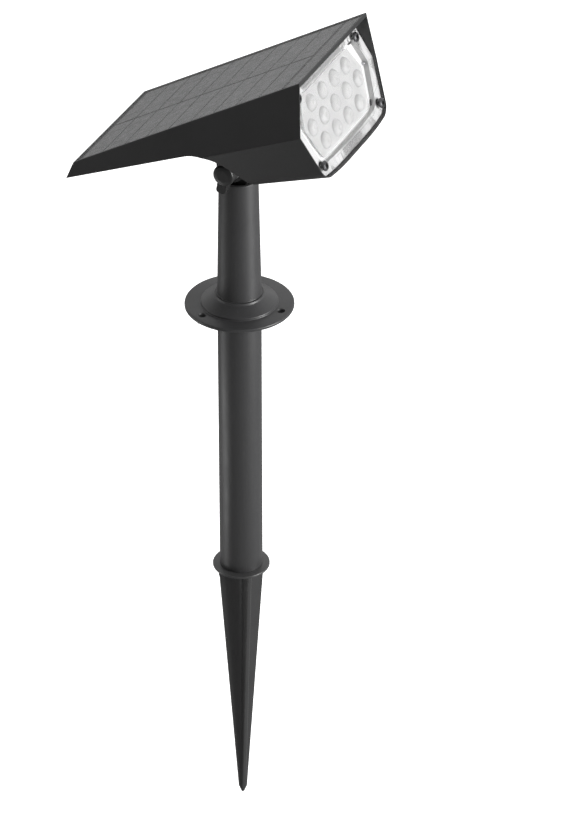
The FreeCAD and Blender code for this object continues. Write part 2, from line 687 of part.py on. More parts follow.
def lower_housing():
    """The bottom shell: tail floor, hinge hollow, slanted back, belly and hinge ears."""
    solid = boolean("MultiCommon", head_profile(), cross_section("0", "-envelope_rear", "envelope_front"))
    belly = boolean("Cut", round_low_corners(solid, "corner_radius"), above_fold("-0.05"))
    section = cross_section("wall", "head_length / 3", "envelope_front")
    hollow = boolean("MultiCommon", cavity_profile(), section, lens_slab(LEDGE_BACK, "cutter_length"))
    pocket_part, window = aperture()
    belly = boolean("Cut", belly, round_low_corners(hollow, "corner_radius - wall"), pocket_part, window)
    plate = boolean("Cut", boolean("MultiCommon", head_profile(),
                                   cross_section("wall + seam_gap", "-rear_wall_start + 2 * seam_gap",
                                                 "0.8 * head_length"), above_fold("-0.4")),
                    cavity_profile())
    pin = primitive("Cylinder", along_x("-top_half", "-hinge_from_rear", "-hinge_below_panel"),
                    Radius="bolt_radius + 0.02", Height="2 * top_half")
    posts, pilots = lens_bosses(["-lens_screw_low"])
    shafts = []
    for along, half, length in HOUSING_SCREWS:
        for side in (-1, 1):
            below = "(tail_depth + tail_slope * %s)" % along
            x = "%d * %s" % (side, half)
            shafts.append(primitive("Cylinder", housing_screw_place(along, x, below + " - 4"),
                                    Radius="1.6", Height="8"))
            shafts.append(primitive("Cylinder", housing_screw_place(along, x, below + " - 1"),
                                    Radius="3.1", Height="8"))
    button = primitive("Cylinder", turned(y="-belly_from_rear", z="-belly_depth", about_x=180 + belly_lean())
                       .multiply(turned(y="button_along", z=-6)), Radius="button_radius + 0.3", Height="12")
    whole = boolean("MultiFuse", belly, plate, *hinge_ears(), *posts)
    keep(boolean("Cut", whole, pin, button, *pilots, *shafts), "lower_housing", head_frame())


# head radius and height, and for whole screws also shank radius and length
HOUSING_SCREW_HEAD = ("2.8", "1.6")
LENS_SCREW = ("2.9", "1.5", "pilot_radius", "10")
BOARD_SCREW = ("1.9", "1.2", "1", "3.4")


def pan_screw(place, head_radius, head_height, shank_radius, length):
    """A pan-head self-tapping screw: its head stands above the place, its shank goes below."""
    head = primitive("Cylinder", place, Radius=head_radius, Height=head_height)
    shank = primitive("Cylinder", place.multiply(turned(z="-(%s)" % length)), Radius=shank_radius,
                      Height=length)
    return boolean("MultiFuse", head, shank)


def housing_screws():
    """The screws that close the tail from below."""
    screws = []
    for along, half, length in HOUSING_SCREWS:
        for side in (-1, 1):
            place = housing_screw_place(along, "%d * %s" % (side, half),
                                        "tail_depth + tail_slope * %s - 1" % along)
            screws.append(pan_screw(place, *HOUSING_SCREW_HEAD, "pilot_radius", length))
    keep(group(*screws), "housing_screws", head_frame())


# ---------------------------------------------------------------- solar panel

def solar_panel():
    """Backing board, two columns of cells, their ribbons, and the clear cover."""
    frame = head_frame()
    length = "(head_length - 2 * recess_margin - 2 * panel_play)"
    half = "(top_half - recess_margin - panel_play)"
    front = "-(recess_margin + panel_play) - " + length
    backing = primitive("Box", turned(x="-" + half, y=front, z="-recess_depth"), Length="2 * " + half,
                        Width=length, Height="backing_thickness")
    hole = primitive("Cylinder", turned(y="-wire_hole_along", z="-recess_depth - 1"),
                     Radius="wire_hole_radius - 1", Height="recess_depth + 1")
    keep(boolean("Cut", backing, hole), "panel_backing", frame)
    strips = int(value("cell_strips"))
    pitch = "(cell_field_length / cell_strips)"
    cell_length = "(%s - cell_side_margin - cell_columns_gap / 2)" % half
    cells = []
    ribbons = []
    low = "-recess_depth + backing_thickness"
    for side in (-1, 1):
        inner = "cell_columns_gap / 2" if side > 0 else "-(cell_columns_gap / 2) - " + cell_length
        for strip in range(strips):
            far = "-(cells_start + %d * %s - cell_gap)" % (strip + 1, pitch)
            cells.append(primitive("Box", turned(x=inner, y=far, z=low), Length=cell_length,
                                   Width=pitch + " - cell_gap", Height="cell_thickness"))
        for share in (0.25, 0.75):
            x = "%d * %s * %g - ribbon_width / 2" % (side, half, share)
            ribbons.append(primitive("Box", turned(x=x, y="-(cells_start + cell_field_length + 2)",
                                                   z=low + " + cell_thickness"),
                                     Length="ribbon_width", Width="cell_field_length + 1",
                                     Height="ribbon_thickness"))
    collector_y = "-(cells_start + cell_field_length + collector_gap + collector_width)"
    collector = primitive("Box", turned(x="-%s + cell_side_margin" % half, y=collector_y, z=low),
                          Length="2 * %s - 2 * cell_side_margin" % half, Width="collector_width",
                          Height="cell_thickness")
    keep(group(*cells), "solar_cells", frame)
    keep(group(*ribbons, collector), "cell_ribbons", frame)
    above_cells = "(cell_thickness + ribbon_thickness)"
    cover = primitive("Box", turned(x="-" + half, y=front, z=low + " + " + above_cells),
                      Length="2 * " + half, Width=length,
                      Height="recess_depth - backing_thickness - " + above_cells)
    keep(cover, "panel_cover", frame)


# ---------------------------------------------------------------- lens and LEDs

def lens_outline(inset):
    """The six corners of the lens opening, moved inwards, as expressions."""
    top = "(recess_depth + deck_thickness + lens_play)"
    low = "(nose_depth - 1.05 * rim_wall - seat_draft * %s)" % SEAT
    fold = "fold_front_depth"
    corners = []
    for depth, half, move in (
            (top, "top_half + side_flare * " + top, "-1"),
            (fold, "top_half + side_flare * " + fold, "0"),
            (low, "top_half + side_flare * %s - chamfer_taper * (%s - %s)" % (fold, low, fold), "1")):
        height = "(lens_centre_depth - %s) * sqrt(1 + rim_slope ^ 2) + %s * (%s)" % (depth, move, inset)
        corners.append(("(%s - rim_wall - (%s))" % (half, inset), height))
    return corners + [("-" + x, y) for x, y in reversed(corners)]


def hexagon(body, inset, offset):
    """A six-sided sketch that fits the lens opening with a margin."""
    return outline(new_sketch(body, "XY", offset), lens_outline(inset))


def round_hexagon(body, low_radius):
    """Round the two low corners of a hexagonal plate by one radius, and the other four a little."""
    round_edges(body, low_radius, lambda middle, edge: upright(edge) and middle.y < 0)
    round_edges(body, "lens_corner", lambda middle, edge: upright(edge) and middle.y > 0)


def screw_centres():
    """The four lens screws' places in the lens plane."""
    return [("%d * lens_screw_x" % side, y) for side in (-1, 1)
            for y in ("lens_screw_top", "-lens_screw_low")]


def drill(body, radius, depth, centres):
    """Cut round holes through the body at several centres."""
    sketch = new_sketch(body, "XY")
    for x, y in centres:
        ring(sketch, x, y, radius)
    return pocket(body, sketch, depth)


def lens_cover():
    """The clear cover: a flat rim with screw holes and a raised, hollow middle."""
    body = new_body("lens_cover")
    pad(body, hexagon(body, "lens_play", "-lens_setback"), "lens_thickness", reverse=True)
    round_hexagon(body, "corner_radius - rim_wall")
    raised = new_sketch(body, "XY", "-lens_setback - 0.1")
    outline(raised, raised_outline("0"))
    pad(body, raised, "lens_bulge + 0.1")
    inside = new_sketch(body, "XY", "-lens_setback - lens_thickness")
    outline(inside, raised_outline("lens_wall"))
    pocket(body, inside, "2 * (lens_bulge + 0.1)")
    drill(body, "lens_hole_radius", "10 * lens_thickness", screw_centres())
    keep(body, "lens_cover", lens_frame())


def raised_outline(inset):
    """The raised middle of the lens: cut back around the four screws."""
    inset = "(%s)" % inset
    half_inset = "0.5 * " + inset
    right = [
        ("lens_screw_x - 9 - " + half_inset, "raised_top - " + inset),
        ("lens_screw_x - 8 - " + half_inset, "notch_top"),
        ("lens_screw_x + 5.5 - " + inset, "notch_top_end - " + half_inset),
        ("raised_half - " + inset, "raised_waist"),
        ("lens_screw_x + 3.5 - " + inset, "-notch_low_end + " + half_inset),
        ("lens_screw_x - 8.5 - " + half_inset, "-notch_low"),
        ("lens_screw_x - 11 - " + half_inset, "-raised_low + " + inset),
    ]
    left = [("-(%s)" % x, y) for x, y in reversed(right)]
    return right + left


def lens_gasket():
    """The soft frame between the lens and the ledge."""
    body = new_body("lens_gasket")
    pad(body, hexagon(body, "lens_play", "-lens_setback - lens_thickness"), "gasket_thickness", reverse=True)
    round_hexagon(body, "corner_radius - rim_wall")
    pocket(body, hexagon(body, "ledge_width + wall - rim_wall", "0"), "10 * " + SEAT)
    drill(body, "gasket_hole_radius", "10 * " + SEAT, screw_centres())
    keep(body, "lens_gasket", lens_frame())


def lens_screws():
    """The four screws through the lens corners."""
    screws = []
    for x, y in screw_centres():
        place = turned(x=x, y=y, z="-lens_setback")
        screws.append(pan_screw(place, *LENS_SCREW))
    keep(group(*screws), "lens_screws", lens_frame())


def led_centres():
    """Thirteen LEDs in three staggered rows."""
    centres = []
    for row in (-1, 0, 1):
        count = 5 if row == 0 else 4
        for number in range(count):
            x = "led_pitch_x * %g" % (number - (count - 1) / 2)
            centres.append((x, "led_pitch_y * %d - led_centre_y" % row))
    return centres


def led_board():
    """The white board behind the ledge, with clearance around the screw posts."""
    body = new_body("led_board")
    frame = lens_frame()
    through = "10 * " + LEDGE_BACK
    inset = "board_play + wall - rim_wall"
    pad(body, hexagon(body, inset, "-" + LEDGE_BACK), "board_thickness", reverse=True)
    round_hexagon(body, "corner_radius - wall")
    drill(body, "lens_boss_radius + 0.3", through, screw_centres())
    screw_places = [("%d * board_screw_x" % side, "board_screw_y") for side in (-1, 1)]
    drill(body, "board_hole_radius", through, screw_places)
    keep(body, "led_board", frame)
    screws = []
    for x, y in screw_places:
        place = turned(x=x, y=y, z="-%s - board_thickness" % LEDGE_BACK, about_x=180)
        screws.append(pan_screw(place, *BOARD_SCREW))
    keep(group(*screws), "board_screws", frame)


def led_chips():
    """The surface-mounted LEDs."""
    chips = []
    for x, y in led_centres():
        place = turned(x=x + " - led_half", y=y + " - led_half", z="-" + LEDGE_BACK)
        chips.append(primitive("Box", place, Length="2 * led_half", Width="2 * led_half",
                               Height="led_thickness"))
    keep(group(*chips), "led_chips", lens_frame())


def lens_array():
    """The clear plate with one dome over each LED."""
    low = "-%s + led_thickness + 0.1" % LEDGE_BACK
    body = new_body("array_plate")
    sketch = new_sketch(body, "XY", low)
    outline(sketch, [("plate_half", "plate_waist"), ("plate_shoulder", "plate_top"),
                     ("-plate_shoulder", "plate_top"), ("-plate_half", "plate_waist"),
                     ("-plate_shoulder", "-plate_low"), ("plate_shoulder", "-plate_low")])
    pad(body, sketch, "lens_plate_thickness")
    pieces = [body]
    for x, y in led_centres():
        dome = primitive("Sphere", turned(x=x, y=y, z=low + " + lens_plate_thickness - dome_sink"),
                         Radius="dome_radius", Angle1="dome_start_angle")
        pieces.append(dome)
    keep(boolean("MultiFuse", *pieces), "lens_array", lens_frame())


# ---------------------------------------------------------------- battery, boards, button

def battery():
    """The cylindrical cell, its end tabs, and the cradle that holds it over the floor."""
    frame = floor_frame()
    y = "battery_along"
    z = "-battery_above"
    place = along_x("-cell_length / 2", y, z)
    cell = primitive("Cylinder", place, Radius="cell_radius", Height="cell_length")
    keep(cell, "battery_cell", frame)
    tabs = []
    for side in (-1, 1):
        start = "cell_length / 2" if side > 0 else "-cell_length / 2 - tab_thickness"
        tabs.append(primitive("Box", turned(x=start, y=y + " - tab_half", z=z + " - tab_reach"),
                              Length="tab_thickness", Width="2 * tab_half", Height="2 * tab_reach"))
    keep(group(*tabs), "battery_tabs", frame)
    trough_length = "2 * cradle_half"
    outer = primitive("Cylinder", along_x("-cradle_half", y, z), Radius="cell_radius + cradle_wall + 0.1",
                      Height=trough_length)
    inner = primitive("Cylinder", along_x("-cradle_half + cradle_end", y, z), Radius="cell_radius + 0.1",
                      Height=trough_length + " - 2 * cradle_end")
    feet = []
    for side in (-1, 1):
        x = "cradle_half - cradle_end" if side > 0 else "-cradle_half"
        feet.append(primitive("Box", turned(x=x, y=y + " - cradle_foot_half", z=z), Length="cradle_end",
                              Width="2 * cradle_foot_half", Height="battery_above - wall - 0.05"))
    keep_half = primitive("Box", turned(x="-cradle_half - 1", y=y + " - 2 * cell_radius", z=z + " + 0.5"),
                          Length="2 * cradle_half + 2", Width="4 * cell_radius", Height="2 * cell_radius")
    trough = boolean("MultiCommon", boolean("Cut", outer, inner), keep_half)
    keep(boolean("MultiFuse", trough, *feet), "battery_cradle", frame)


BOARD_LOW = "-(wall + floor_board_gap)"
# place on the board, then length, width and height, or radius and height for the coil
CHARGER_CHIP = ("-12", "5", "8", "5", "1.4")
BATTERY_PLUG = ("13", "4", "6", "4", "1.8")
BOOST_COIL = ("8", "7", "3", "1.8")


def control_board():
    """The charge and lamp controller on four posts above the floor, with its parts."""
    frame = floor_frame()
    low = BOARD_LOW
    board = primitive("Box", turned(x="-floor_board_half", y="floor_board_rear",
                                    z=low + " - floor_board_thickness"),
                      Length="2 * floor_board_half", Width="floor_board_length",
                      Height="floor_board_thickness")
    keep(board, "control_board", frame)
    top = low + " - floor_board_thickness"
    parts = []
    for x, y, length, width, height in (CHARGER_CHIP, BATTERY_PLUG):
        parts.append(primitive("Box", turned(x=x, y=y, z="%s - %s" % (top, height)), Length=length,
                               Width=width, Height=height))
    x, y, radius, height = BOOST_COIL
    parts.append(primitive("Cylinder", turned(x=x, y=y, z="%s - %s" % (top, height)), Radius=radius,
                           Height=height))
    keep(group(*parts), "board_parts", frame)
    posts = []
    for x in ("-board_post_x", "board_post_x"):
        for y in ("board_post_rear", "board_post_front"):
            posts.append(primitive("Cylinder", turned(x=x, y=y, z=low + " + 0.02"),
                                   Radius="board_post_radius", Height="floor_board_gap - 0.08"))
    keep(group(*posts), "board_posts", frame)


def power_button():
    """The push button in the belly's floor and the switch that it presses."""
    frame = floor_frame()
    y = "button_along"
    cap = primitive("Cylinder", turned(y=y, z="-wall"), Radius="button_radius",
                    Height="wall + button_proud")
    lip = primitive("Cylinder", turned(y=y, z="-wall - button_lip_thickness - 0.1"),
                    Radius="button_radius + button_lip", Height="button_lip_thickness")
    stem = primitive("Cylinder", turned(y=y, z="-wall - button_stem"), Radius="button_stem_radius",
                     Height="button_stem + 0.4")
    keep(boolean("MultiFuse", cap, lip, stem), "power_button", frame)
    switch = primitive("Box", turned(x="-switch_half", y=y + " - switch_half", z=BOARD_LOW + " + 0.01"),
                       Length="2 * switch_half", Width="2 * switch_half",
                       Height="floor_board_gap - button_stem - button_travel - 0.2")
    keep(switch, "push_switch", frame)


def bent_tube(points, radius):
    """A round wire along straight runs joined by tangent arcs."""
    edges = []
    start = points[0]
    for before, corner, after in zip(points, points[1:], points[2:]):
        back = before - corner
        ahead = after - corner
        turn = math.pi - back.getAngle(ahead)
        reach = 0.45 * min(back.Length, ahead.Length)
        back.normalize()
        ahead.normalize()
        first = corner + back * reach
        last = corner + ahead * reach
        bend = reach / math.tan(turn / 2)
        middle_way = back + ahead
        middle_way.normalize()
        middle = corner + middle_way * (math.hypot(bend, reach) - bend)
        edges.append(Part.LineSegment(start, first).toShape())
        edges.append(Part.Arc(first, middle, last).toShape())
        start = last
    edges.append(Part.LineSegment(start, points[-1]).toShape())
    spine = Part.Wire(edges)
    circle = Part.Circle(points[0], points[1] - points[0], radius)
    profile = Part.Wire([circle.toShape()])
    return spine.makePipeShell([profile], True, False)


def lead(name, route):
    """One insulated wire inside the head."""
    points = [in_head(*point) for point in route]
    feature = doc.addObject("Part::Feature", name)
    feature.Shape = bent_tube(points, value("lead_radius"))
    keep(feature, name)


def leads():
    """Panel, battery and LED wires, a red and a black of each."""
    for side, colour in ((-1, "black"), (1, "red")):
        x = 1.6 * side
        lead("panel_lead_" + colour, [(x, 99, 0.85), (x, 99, 12), (x * 1.5, 101, 26), (x * 2, 108, 40.1)])
        x = 33.8 * side
        lead("battery_lead_" + colour, [(x, 117.4, 27.4), (x, 107.6, 28), (x - 5 * side, 104.5, 34),
                                        (x - 12 * side, 107.6, 40.1)])
        x = 6 * side
        lead("led_lead_" + colour, [(x, 136.1, 33.2), (x, 133.2, 36), (x * 1.2, 132, 40),
                                    (x * 1.3, 128.2, 45)])


# ---------------------------------------------------------------- build, check, write

def check_document():
    """Stop if any object failed or any sub-part isn't a valid solid."""
    doc.recompute()
    for thing in doc.Objects:
        if "Invalid" in thing.State or "Error" in thing.State:
            raise RuntimeError("%s (%s) failed: %s" % (thing.Label, thing.Name, thing.State))
    for thing in nodes:
        if thing.Shape.isNull() or not thing.Shape.isValid() or not thing.Shape.Solids:
            raise RuntimeError("%s has no valid solid" % thing.Label)


def write_parts():
    """Write each sub-part to its own file."""
    os.makedirs("parts", exist_ok=True)
    for thing in nodes:
        thing.Shape.exportStep(os.path.join("parts", thing.Label + ".step"))
        box = thing.Shape.BoundBox
        print("%-20s solids %2d  volume %9.1f  X %7.1f %7.1f  Y %7.1f %7.1f  Z %7.1f %7.1f" % (
            thing.Label, len(thing.Shape.Solids), thing.Shape.Volume, box.XMin, box.XMax, box.YMin,
            box.YMax, box.ZMin, box.ZMax))


ground_spike()
extension_tube()
upper_pole()
hinge_tongue()
hinge_bolt()
washers()
wing_knob()
knob_nut()
upper_housing()
lower_housing()
housing_screws()
solar_panel()
lens_cover()
lens_gasket()
lens_screws()
led_board()
led_chips()
lens_array()
battery()
control_board()
power_button()
leads()
check_document()
write_parts()
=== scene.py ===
import json
import math

import bmesh
import bpy
from mathutils import Matrix, Vector

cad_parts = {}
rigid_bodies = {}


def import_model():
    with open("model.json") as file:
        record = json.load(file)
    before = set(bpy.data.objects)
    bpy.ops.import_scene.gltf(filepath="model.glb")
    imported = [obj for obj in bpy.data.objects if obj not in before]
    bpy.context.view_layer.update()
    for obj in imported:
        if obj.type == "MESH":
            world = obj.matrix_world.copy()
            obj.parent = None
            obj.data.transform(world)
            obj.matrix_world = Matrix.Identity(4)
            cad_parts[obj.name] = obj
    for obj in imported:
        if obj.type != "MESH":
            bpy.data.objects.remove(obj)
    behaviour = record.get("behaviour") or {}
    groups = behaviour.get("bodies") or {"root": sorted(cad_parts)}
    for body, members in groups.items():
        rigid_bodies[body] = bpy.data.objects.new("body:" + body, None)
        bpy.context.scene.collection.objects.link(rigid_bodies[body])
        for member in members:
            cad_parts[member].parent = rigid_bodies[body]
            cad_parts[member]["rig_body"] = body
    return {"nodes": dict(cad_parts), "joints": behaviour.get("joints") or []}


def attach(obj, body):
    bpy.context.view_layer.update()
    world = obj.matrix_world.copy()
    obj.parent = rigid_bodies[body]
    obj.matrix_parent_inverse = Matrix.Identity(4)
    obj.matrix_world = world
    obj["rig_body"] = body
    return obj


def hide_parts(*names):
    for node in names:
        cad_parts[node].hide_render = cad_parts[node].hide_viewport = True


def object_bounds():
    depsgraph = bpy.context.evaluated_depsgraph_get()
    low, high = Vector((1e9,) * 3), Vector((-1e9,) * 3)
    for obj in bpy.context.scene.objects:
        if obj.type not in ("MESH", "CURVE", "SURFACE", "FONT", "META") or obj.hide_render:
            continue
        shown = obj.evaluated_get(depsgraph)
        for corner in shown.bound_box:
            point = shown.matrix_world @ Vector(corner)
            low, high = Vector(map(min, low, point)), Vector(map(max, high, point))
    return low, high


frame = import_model()
cad_box = [list(corner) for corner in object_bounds()]

# Shapes are in millimetres, each in a frame of its own, and are scaled as they are placed.
MM = 0.001
NODES = frame["nodes"]
JOINTS = {joint["name"]: joint for joint in frame["joints"]}
HINGE = Vector(JOINTS["head_tilt"]["pos_m"])


# ---------------------------------------------------------------- frames of the head

HEAD_TILT = 30
HINGE_FROM_REAR = 66.85
HINGE_BELOW_PANEL = 42.44
RIM_AT_TOP = 148.38
RIM_SLOPE = 0.126
LENS_DEPTH = 29
BELLY_CORNER = (97.9, 47.5)
NOSE_CORNER = (141, 58.5)
FOLD_DEPTH_REAR = 11.07
FOLD_SLOPE = 0.1088


def placed(x=0, y=0, z=0, about_x=0, about_y=0):
    """A matrix for a place in millimetres and a turn in degrees."""
    turn = (Matrix.Rotation(math.radians(about_x), 4, "X")
            @ Matrix.Rotation(math.radians(about_y), 4, "Y"))
    return Matrix.Translation(Vector((x, y, z)) * MM) @ turn


# From the panel's rear edge: +X lateral, -Y along the panel, -Z below it.
HEAD = (Matrix.Translation(HINGE) @ placed(about_x=-HEAD_TILT)
        @ placed(y=HINGE_FROM_REAR, z=HINGE_BELOW_PANEL))
# From the middle of the front rim: +X lateral, +Y up the lens, +Z out of the head.
LENS = HEAD @ placed(y=RIM_SLOPE * LENS_DEPTH - RIM_AT_TOP, z=-LENS_DEPTH,
                     about_x=90 + math.degrees(math.atan(RIM_SLOPE)))
# From the belly's rear corner: +X lateral, +Y forward along its floor, +Z out of it.
BELLY_LEAN = math.degrees(math.atan2(NOSE_CORNER[1] - BELLY_CORNER[1],
                                     NOSE_CORNER[0] - BELLY_CORNER[0]))
BELLY = HEAD @ placed(y=-BELLY_CORNER[0], z=-BELLY_CORNER[1], about_x=180 + BELLY_LEAN)
# Along the hinge's axis, out of its middle: towards the bolt's head, and towards the knob.
BOLT = Matrix.Translation(HINGE) @ placed(about_y=90)
KNOB = Matrix.Translation(HINGE) @ placed(about_y=-90)


# ---------------------------------------------------------------- materials

NOISE_LOW = 0.3
NOISE_HIGH = 0.7


class Surface:
    """A material with one Principled shader and short names for the nodes that pattern it."""

    def __init__(self, name, colour, roughness, **values):
        self.material = bpy.data.materials.new(name)
        self.material.use_nodes = True
        self.tree = self.material.node_tree
        self.shader = self.tree.nodes["Principled BSDF"]
        self.shader.inputs["Base Color"].default_value = (*colour, 1)
        self.shader.inputs["Roughness"].default_value = roughness
        for socket, value in values.items():
            self.shader.inputs[socket.replace("_", " ")].default_value = value
        self.place = self.tree.nodes.new("ShaderNodeTexCoord").outputs["Object"]

    def node(self, kind, **settings):
        """A new shader node, with its settings and unlinked sockets set by name."""
        made = self.tree.nodes.new("ShaderNode" + kind)
        for name, value in settings.items():
            if hasattr(made, name):
                setattr(made, name, value)
            else:
                made.inputs[name.replace("_", " ")].default_value = value
        return made

    def link(self, source, target):
        """Join an output socket to an input socket."""
        self.tree.links.new(source, target)

    def stretched(self, x, y, z):
        """The object's coordinates, stretched along its axes."""
        mapping = self.node("Mapping", Scale=(x, y, z))
        self.link(self.place, mapping.inputs["Vector"])
        return mapping.outputs["Vector"]

    def noise(self, size, detail=3, place=None):
        """Noise from 0 to 1 whose blotches are about size millimetres wide."""
        made = self.node("TexNoise", Scale=1 / (size * MM), Detail=detail)
        self.link(place or self.place, made.inputs["Vector"])
        return made.outputs["Fac"]

    def between(self, share, low, high):
        """A number that goes from low to high over the middle of a noise's range."""
        made = self.node("MapRange", From_Min=NOISE_LOW, From_Max=NOISE_HIGH, To_Min=low,
                         To_Max=high)
        self.link(share, made.inputs["Value"])
        return made.outputs["Result"]

    def blend(self, share, first, second):
        """A colour that goes from the first to the second."""
        made = self.node("Mix", data_type="RGBA")
        for slot, colour in ((6, first), (7, second)):
            if isinstance(colour, tuple):
                made.inputs[slot].default_value = (*colour, 1)
            else:
                self.link(colour, made.inputs[slot])
        self.link(share, made.inputs[0])
        return made.outputs[2]

    def maths(self, operation, first, second=0.0):
        """The result of one sum on numbers or sockets."""
        made = self.node("Math", operation=operation)
        for slot, number in ((0, first), (1, second)):
            if isinstance(number, (int, float)):
                made.inputs[slot].default_value = number
            else:
                self.link(number, made.inputs[slot])
        return made.outputs[0]

    def axis(self, name):
        """One of the object's own coordinates, in millimetres."""
        made = self.node("SeparateXYZ")
        self.link(self.place, made.inputs[0])
        return self.maths("MULTIPLY", made.outputs[name], 1 / MM)

    def stripe(self, position, pitch, width):
        """1 on stripes of a width, at a pitch along a position in millimetres, and 0 between."""
        share = self.maths("FRACT", self.maths("DIVIDE", position, pitch))
        return self.maths("LESS_THAN", share, width / pitch)

    def bumps(self, height, depth, strength, under=None):
        """Raise the shader's surface by up to depth millimetres where height is 1."""
        made = self.node("Bump", Strength=strength, Distance=depth * MM)
        self.link(height, made.inputs["Height"])
        if under is not None:
            self.link(under, made.inputs["Normal"])
        self.link(made.outputs["Normal"], self.shader.inputs["Normal"])
        return made.outputs["Normal"]

    def colour(self, source):
        """Pattern the shader's colour."""
        self.link(source, self.shader.inputs["Base Color"])

    def roughness(self, source):
        """Pattern the shader's roughness."""
        self.link(source, self.shader.inputs["Roughness"])


FLOW_SIZE = 35
GLOSS_CHANGE = 0.03
TARNISHED = 0.72
DARKER = 0.86


def moulded(name, dark, light, roughness, grain, depth):
    """Moulded plastic: a fine eroded grain, and faint flow marks in its tone and gloss."""
    made = Surface(name, dark, roughness)
    flow = made.noise(FLOW_SIZE)
    made.colour(made.blend(flow, dark, light))
    gloss = made.maths("ADD", made.between(flow, -GLOSS_CHANGE, GLOSS_CHANGE),
                       made.between(made.noise(grain * 6), -GLOSS_CHANGE, GLOSS_CHANGE))
    made.roughness(made.maths("ADD", gloss, roughness))
    made.bumps(made.noise(grain, 4), depth, 0.6)
    return made.material


def painted_tube():
    """Satin powder coat: a soft orange peel over faint lines along the tube."""
    made = Surface("tube_black", (0.034, 0.034, 0.035), 0.42)
    drawn = made.noise(0.8, 2, made.stretched(1, 1, 0.02))
    made.colour(made.blend(drawn, (0.031, 0.031, 0.032), (0.038, 0.038, 0.039)))
    made.roughness(made.between(made.noise(14), 0.38, 0.46))
    peel = made.bumps(made.noise(0.9, 2), 0.02, 0.4)
    made.bumps(drawn, 0.01, 0.3, peel)
    return made.material


def metal(name, colour, roughness, scratch):
    """Plated or machined metal with fine scratches and a little tarnish."""
    made = Surface(name, colour, roughness, Metallic=1.0)
    dull = tuple(TARNISHED * part for part in colour)
    made.colour(made.blend(made.between(made.noise(3), 0, 1), colour, dull))
    lines = made.noise(scratch, 4, made.stretched(1, 1, 8))
    made.roughness(made.between(lines, roughness - 0.07, roughness + 0.1))
    made.bumps(lines, 0.008, 0.5)
    return made.material


def plain(name, colour, roughness, grain=0.4, depth=0.01, **values):
    """A simple plastic, lacquer or rubber with a slight unevenness of tone and surface."""
    made = Surface(name, colour, roughness, **values)
    darker = tuple(DARKER * part for part in colour)
    made.colour(made.blend(made.between(made.noise(6), 0, 1), colour, darker))
    made.roughness(made.between(made.noise(grain * 8), roughness - 0.05, roughness + 0.05))
    made.bumps(made.noise(grain, 3), depth, 0.5)
    return made.material


FINGER_PITCH = 1.6
FINGER_WIDTH = 0.12
CELL_PITCH = 139 / 9
CELLS_START = 4
COLUMN_DIFFERENCE = 17.3


def silicon():
    """Dark silicon cells: each strip a little different, under fine, slightly paler fingers."""
    made = Surface("cells", (0.06, 0.061, 0.063), 0.3, Specular_IOR_Level=0.35)
    along = made.maths("MULTIPLY", made.axis("Y"), -1)
    across = made.axis("X")
    into_cells = made.maths("SUBTRACT", along, CELLS_START)
    strip = made.maths("FLOOR", made.maths("DIVIDE", into_cells, CELL_PITCH))
    side = made.maths("MULTIPLY", made.maths("SIGN", across), COLUMN_DIFFERENCE)
    shade = made.node("TexWhiteNoise", noise_dimensions="1D")
    made.link(made.maths("ADD", strip, side), shade.inputs["W"])
    own = made.blend(shade.outputs["Value"], (0.058, 0.059, 0.061), (0.068, 0.069, 0.071))
    cloudy = made.blend(made.between(made.noise(9), 0, 0.3), own, (0.05, 0.051, 0.053))
    fingers = made.stripe(across, FINGER_PITCH, FINGER_WIDTH)
    made.colour(made.blend(fingers, cloudy, (0.09, 0.09, 0.092)))
    made.roughness(made.between(made.noise(4), 0.28, 0.4))
    made.bumps(fingers, 0.02, 0.4)
    return made.material


def circuit(name, mask, trace):
    """A circuit board: a solder mask with copper tracks showing through it as another tone."""
    made = Surface(name, mask, 0.35)
    tracks = made.node("TexBrick", Scale=1 / (18 * MM), offset=0.3, Mortar_Size=0.012)
    made.link(made.place, tracks.inputs["Vector"])
    made.colour(made.blend(tracks.outputs["Fac"], mask, trace))
    made.roughness(made.between(made.noise(5), 0.3, 0.4))
    made.bumps(tracks.outputs["Fac"], 0.03, 0.6)
    return made.material


def clear(name, tint, roughness, mirror, grain, depth):
    """A thin clear sheet: see-through, and its outside reflects more at a low angle."""
    made = Surface(name, tint, roughness)
    gloss = made.node("BsdfAnisotropic", Color=(1, 1, 1, 1), Roughness=roughness)
    haze = made.between(made.noise(grain * 5), roughness * 0.8, roughness * 1.2)
    made.link(haze, gloss.inputs["Roughness"])
    made.link(made.bumps(made.noise(grain, 2), depth, 0.5), gloss.inputs["Normal"])
    open_part = made.node("BsdfTransparent", Color=(*tint, 1))
    facing = made.node("Fresnel", IOR=1.5).outputs[0]
    outside = made.maths("SUBTRACT", 1.0, made.node("NewGeometry").outputs["Backfacing"])
    share = made.maths("MULTIPLY", made.maths("MULTIPLY", facing, mirror), outside)
    mixed = made.node("MixShader")
    made.link(share, mixed.inputs[0])
    made.link(open_part.outputs[0], mixed.inputs[1])
    made.link(gloss.outputs[0], mixed.inputs[2])
    made.link(mixed.outputs[0], made.tree.nodes["Material Output"].inputs["Surface"])
    made.tree.nodes.remove(made.shader)
    return made.material


def optics():
    """Clear polycarbonate optics, thick enough to bend what is behind them."""
    made = Surface("clear_optics", (0.93, 0.93, 0.93), 0.2, Transmission_Weight=0.6, IOR=1.45)
    made.bumps(made.noise(3, 2), 0.01, 0.3)
    return made.material


def phosphor():
    """An LED: a white ceramic body around a pale yellow disc."""
    made = Surface("led", (0.85, 0.85, 0.84), 0.4)
    made.roughness(made.between(made.noise(0.5), 0.35, 0.5))
    patches = made.between(made.noise(0.6), 0, 0.4)
    made.colour(made.blend(patches, (0.86, 0.84, 0.72), (0.8, 0.76, 0.55)))
    return made.material


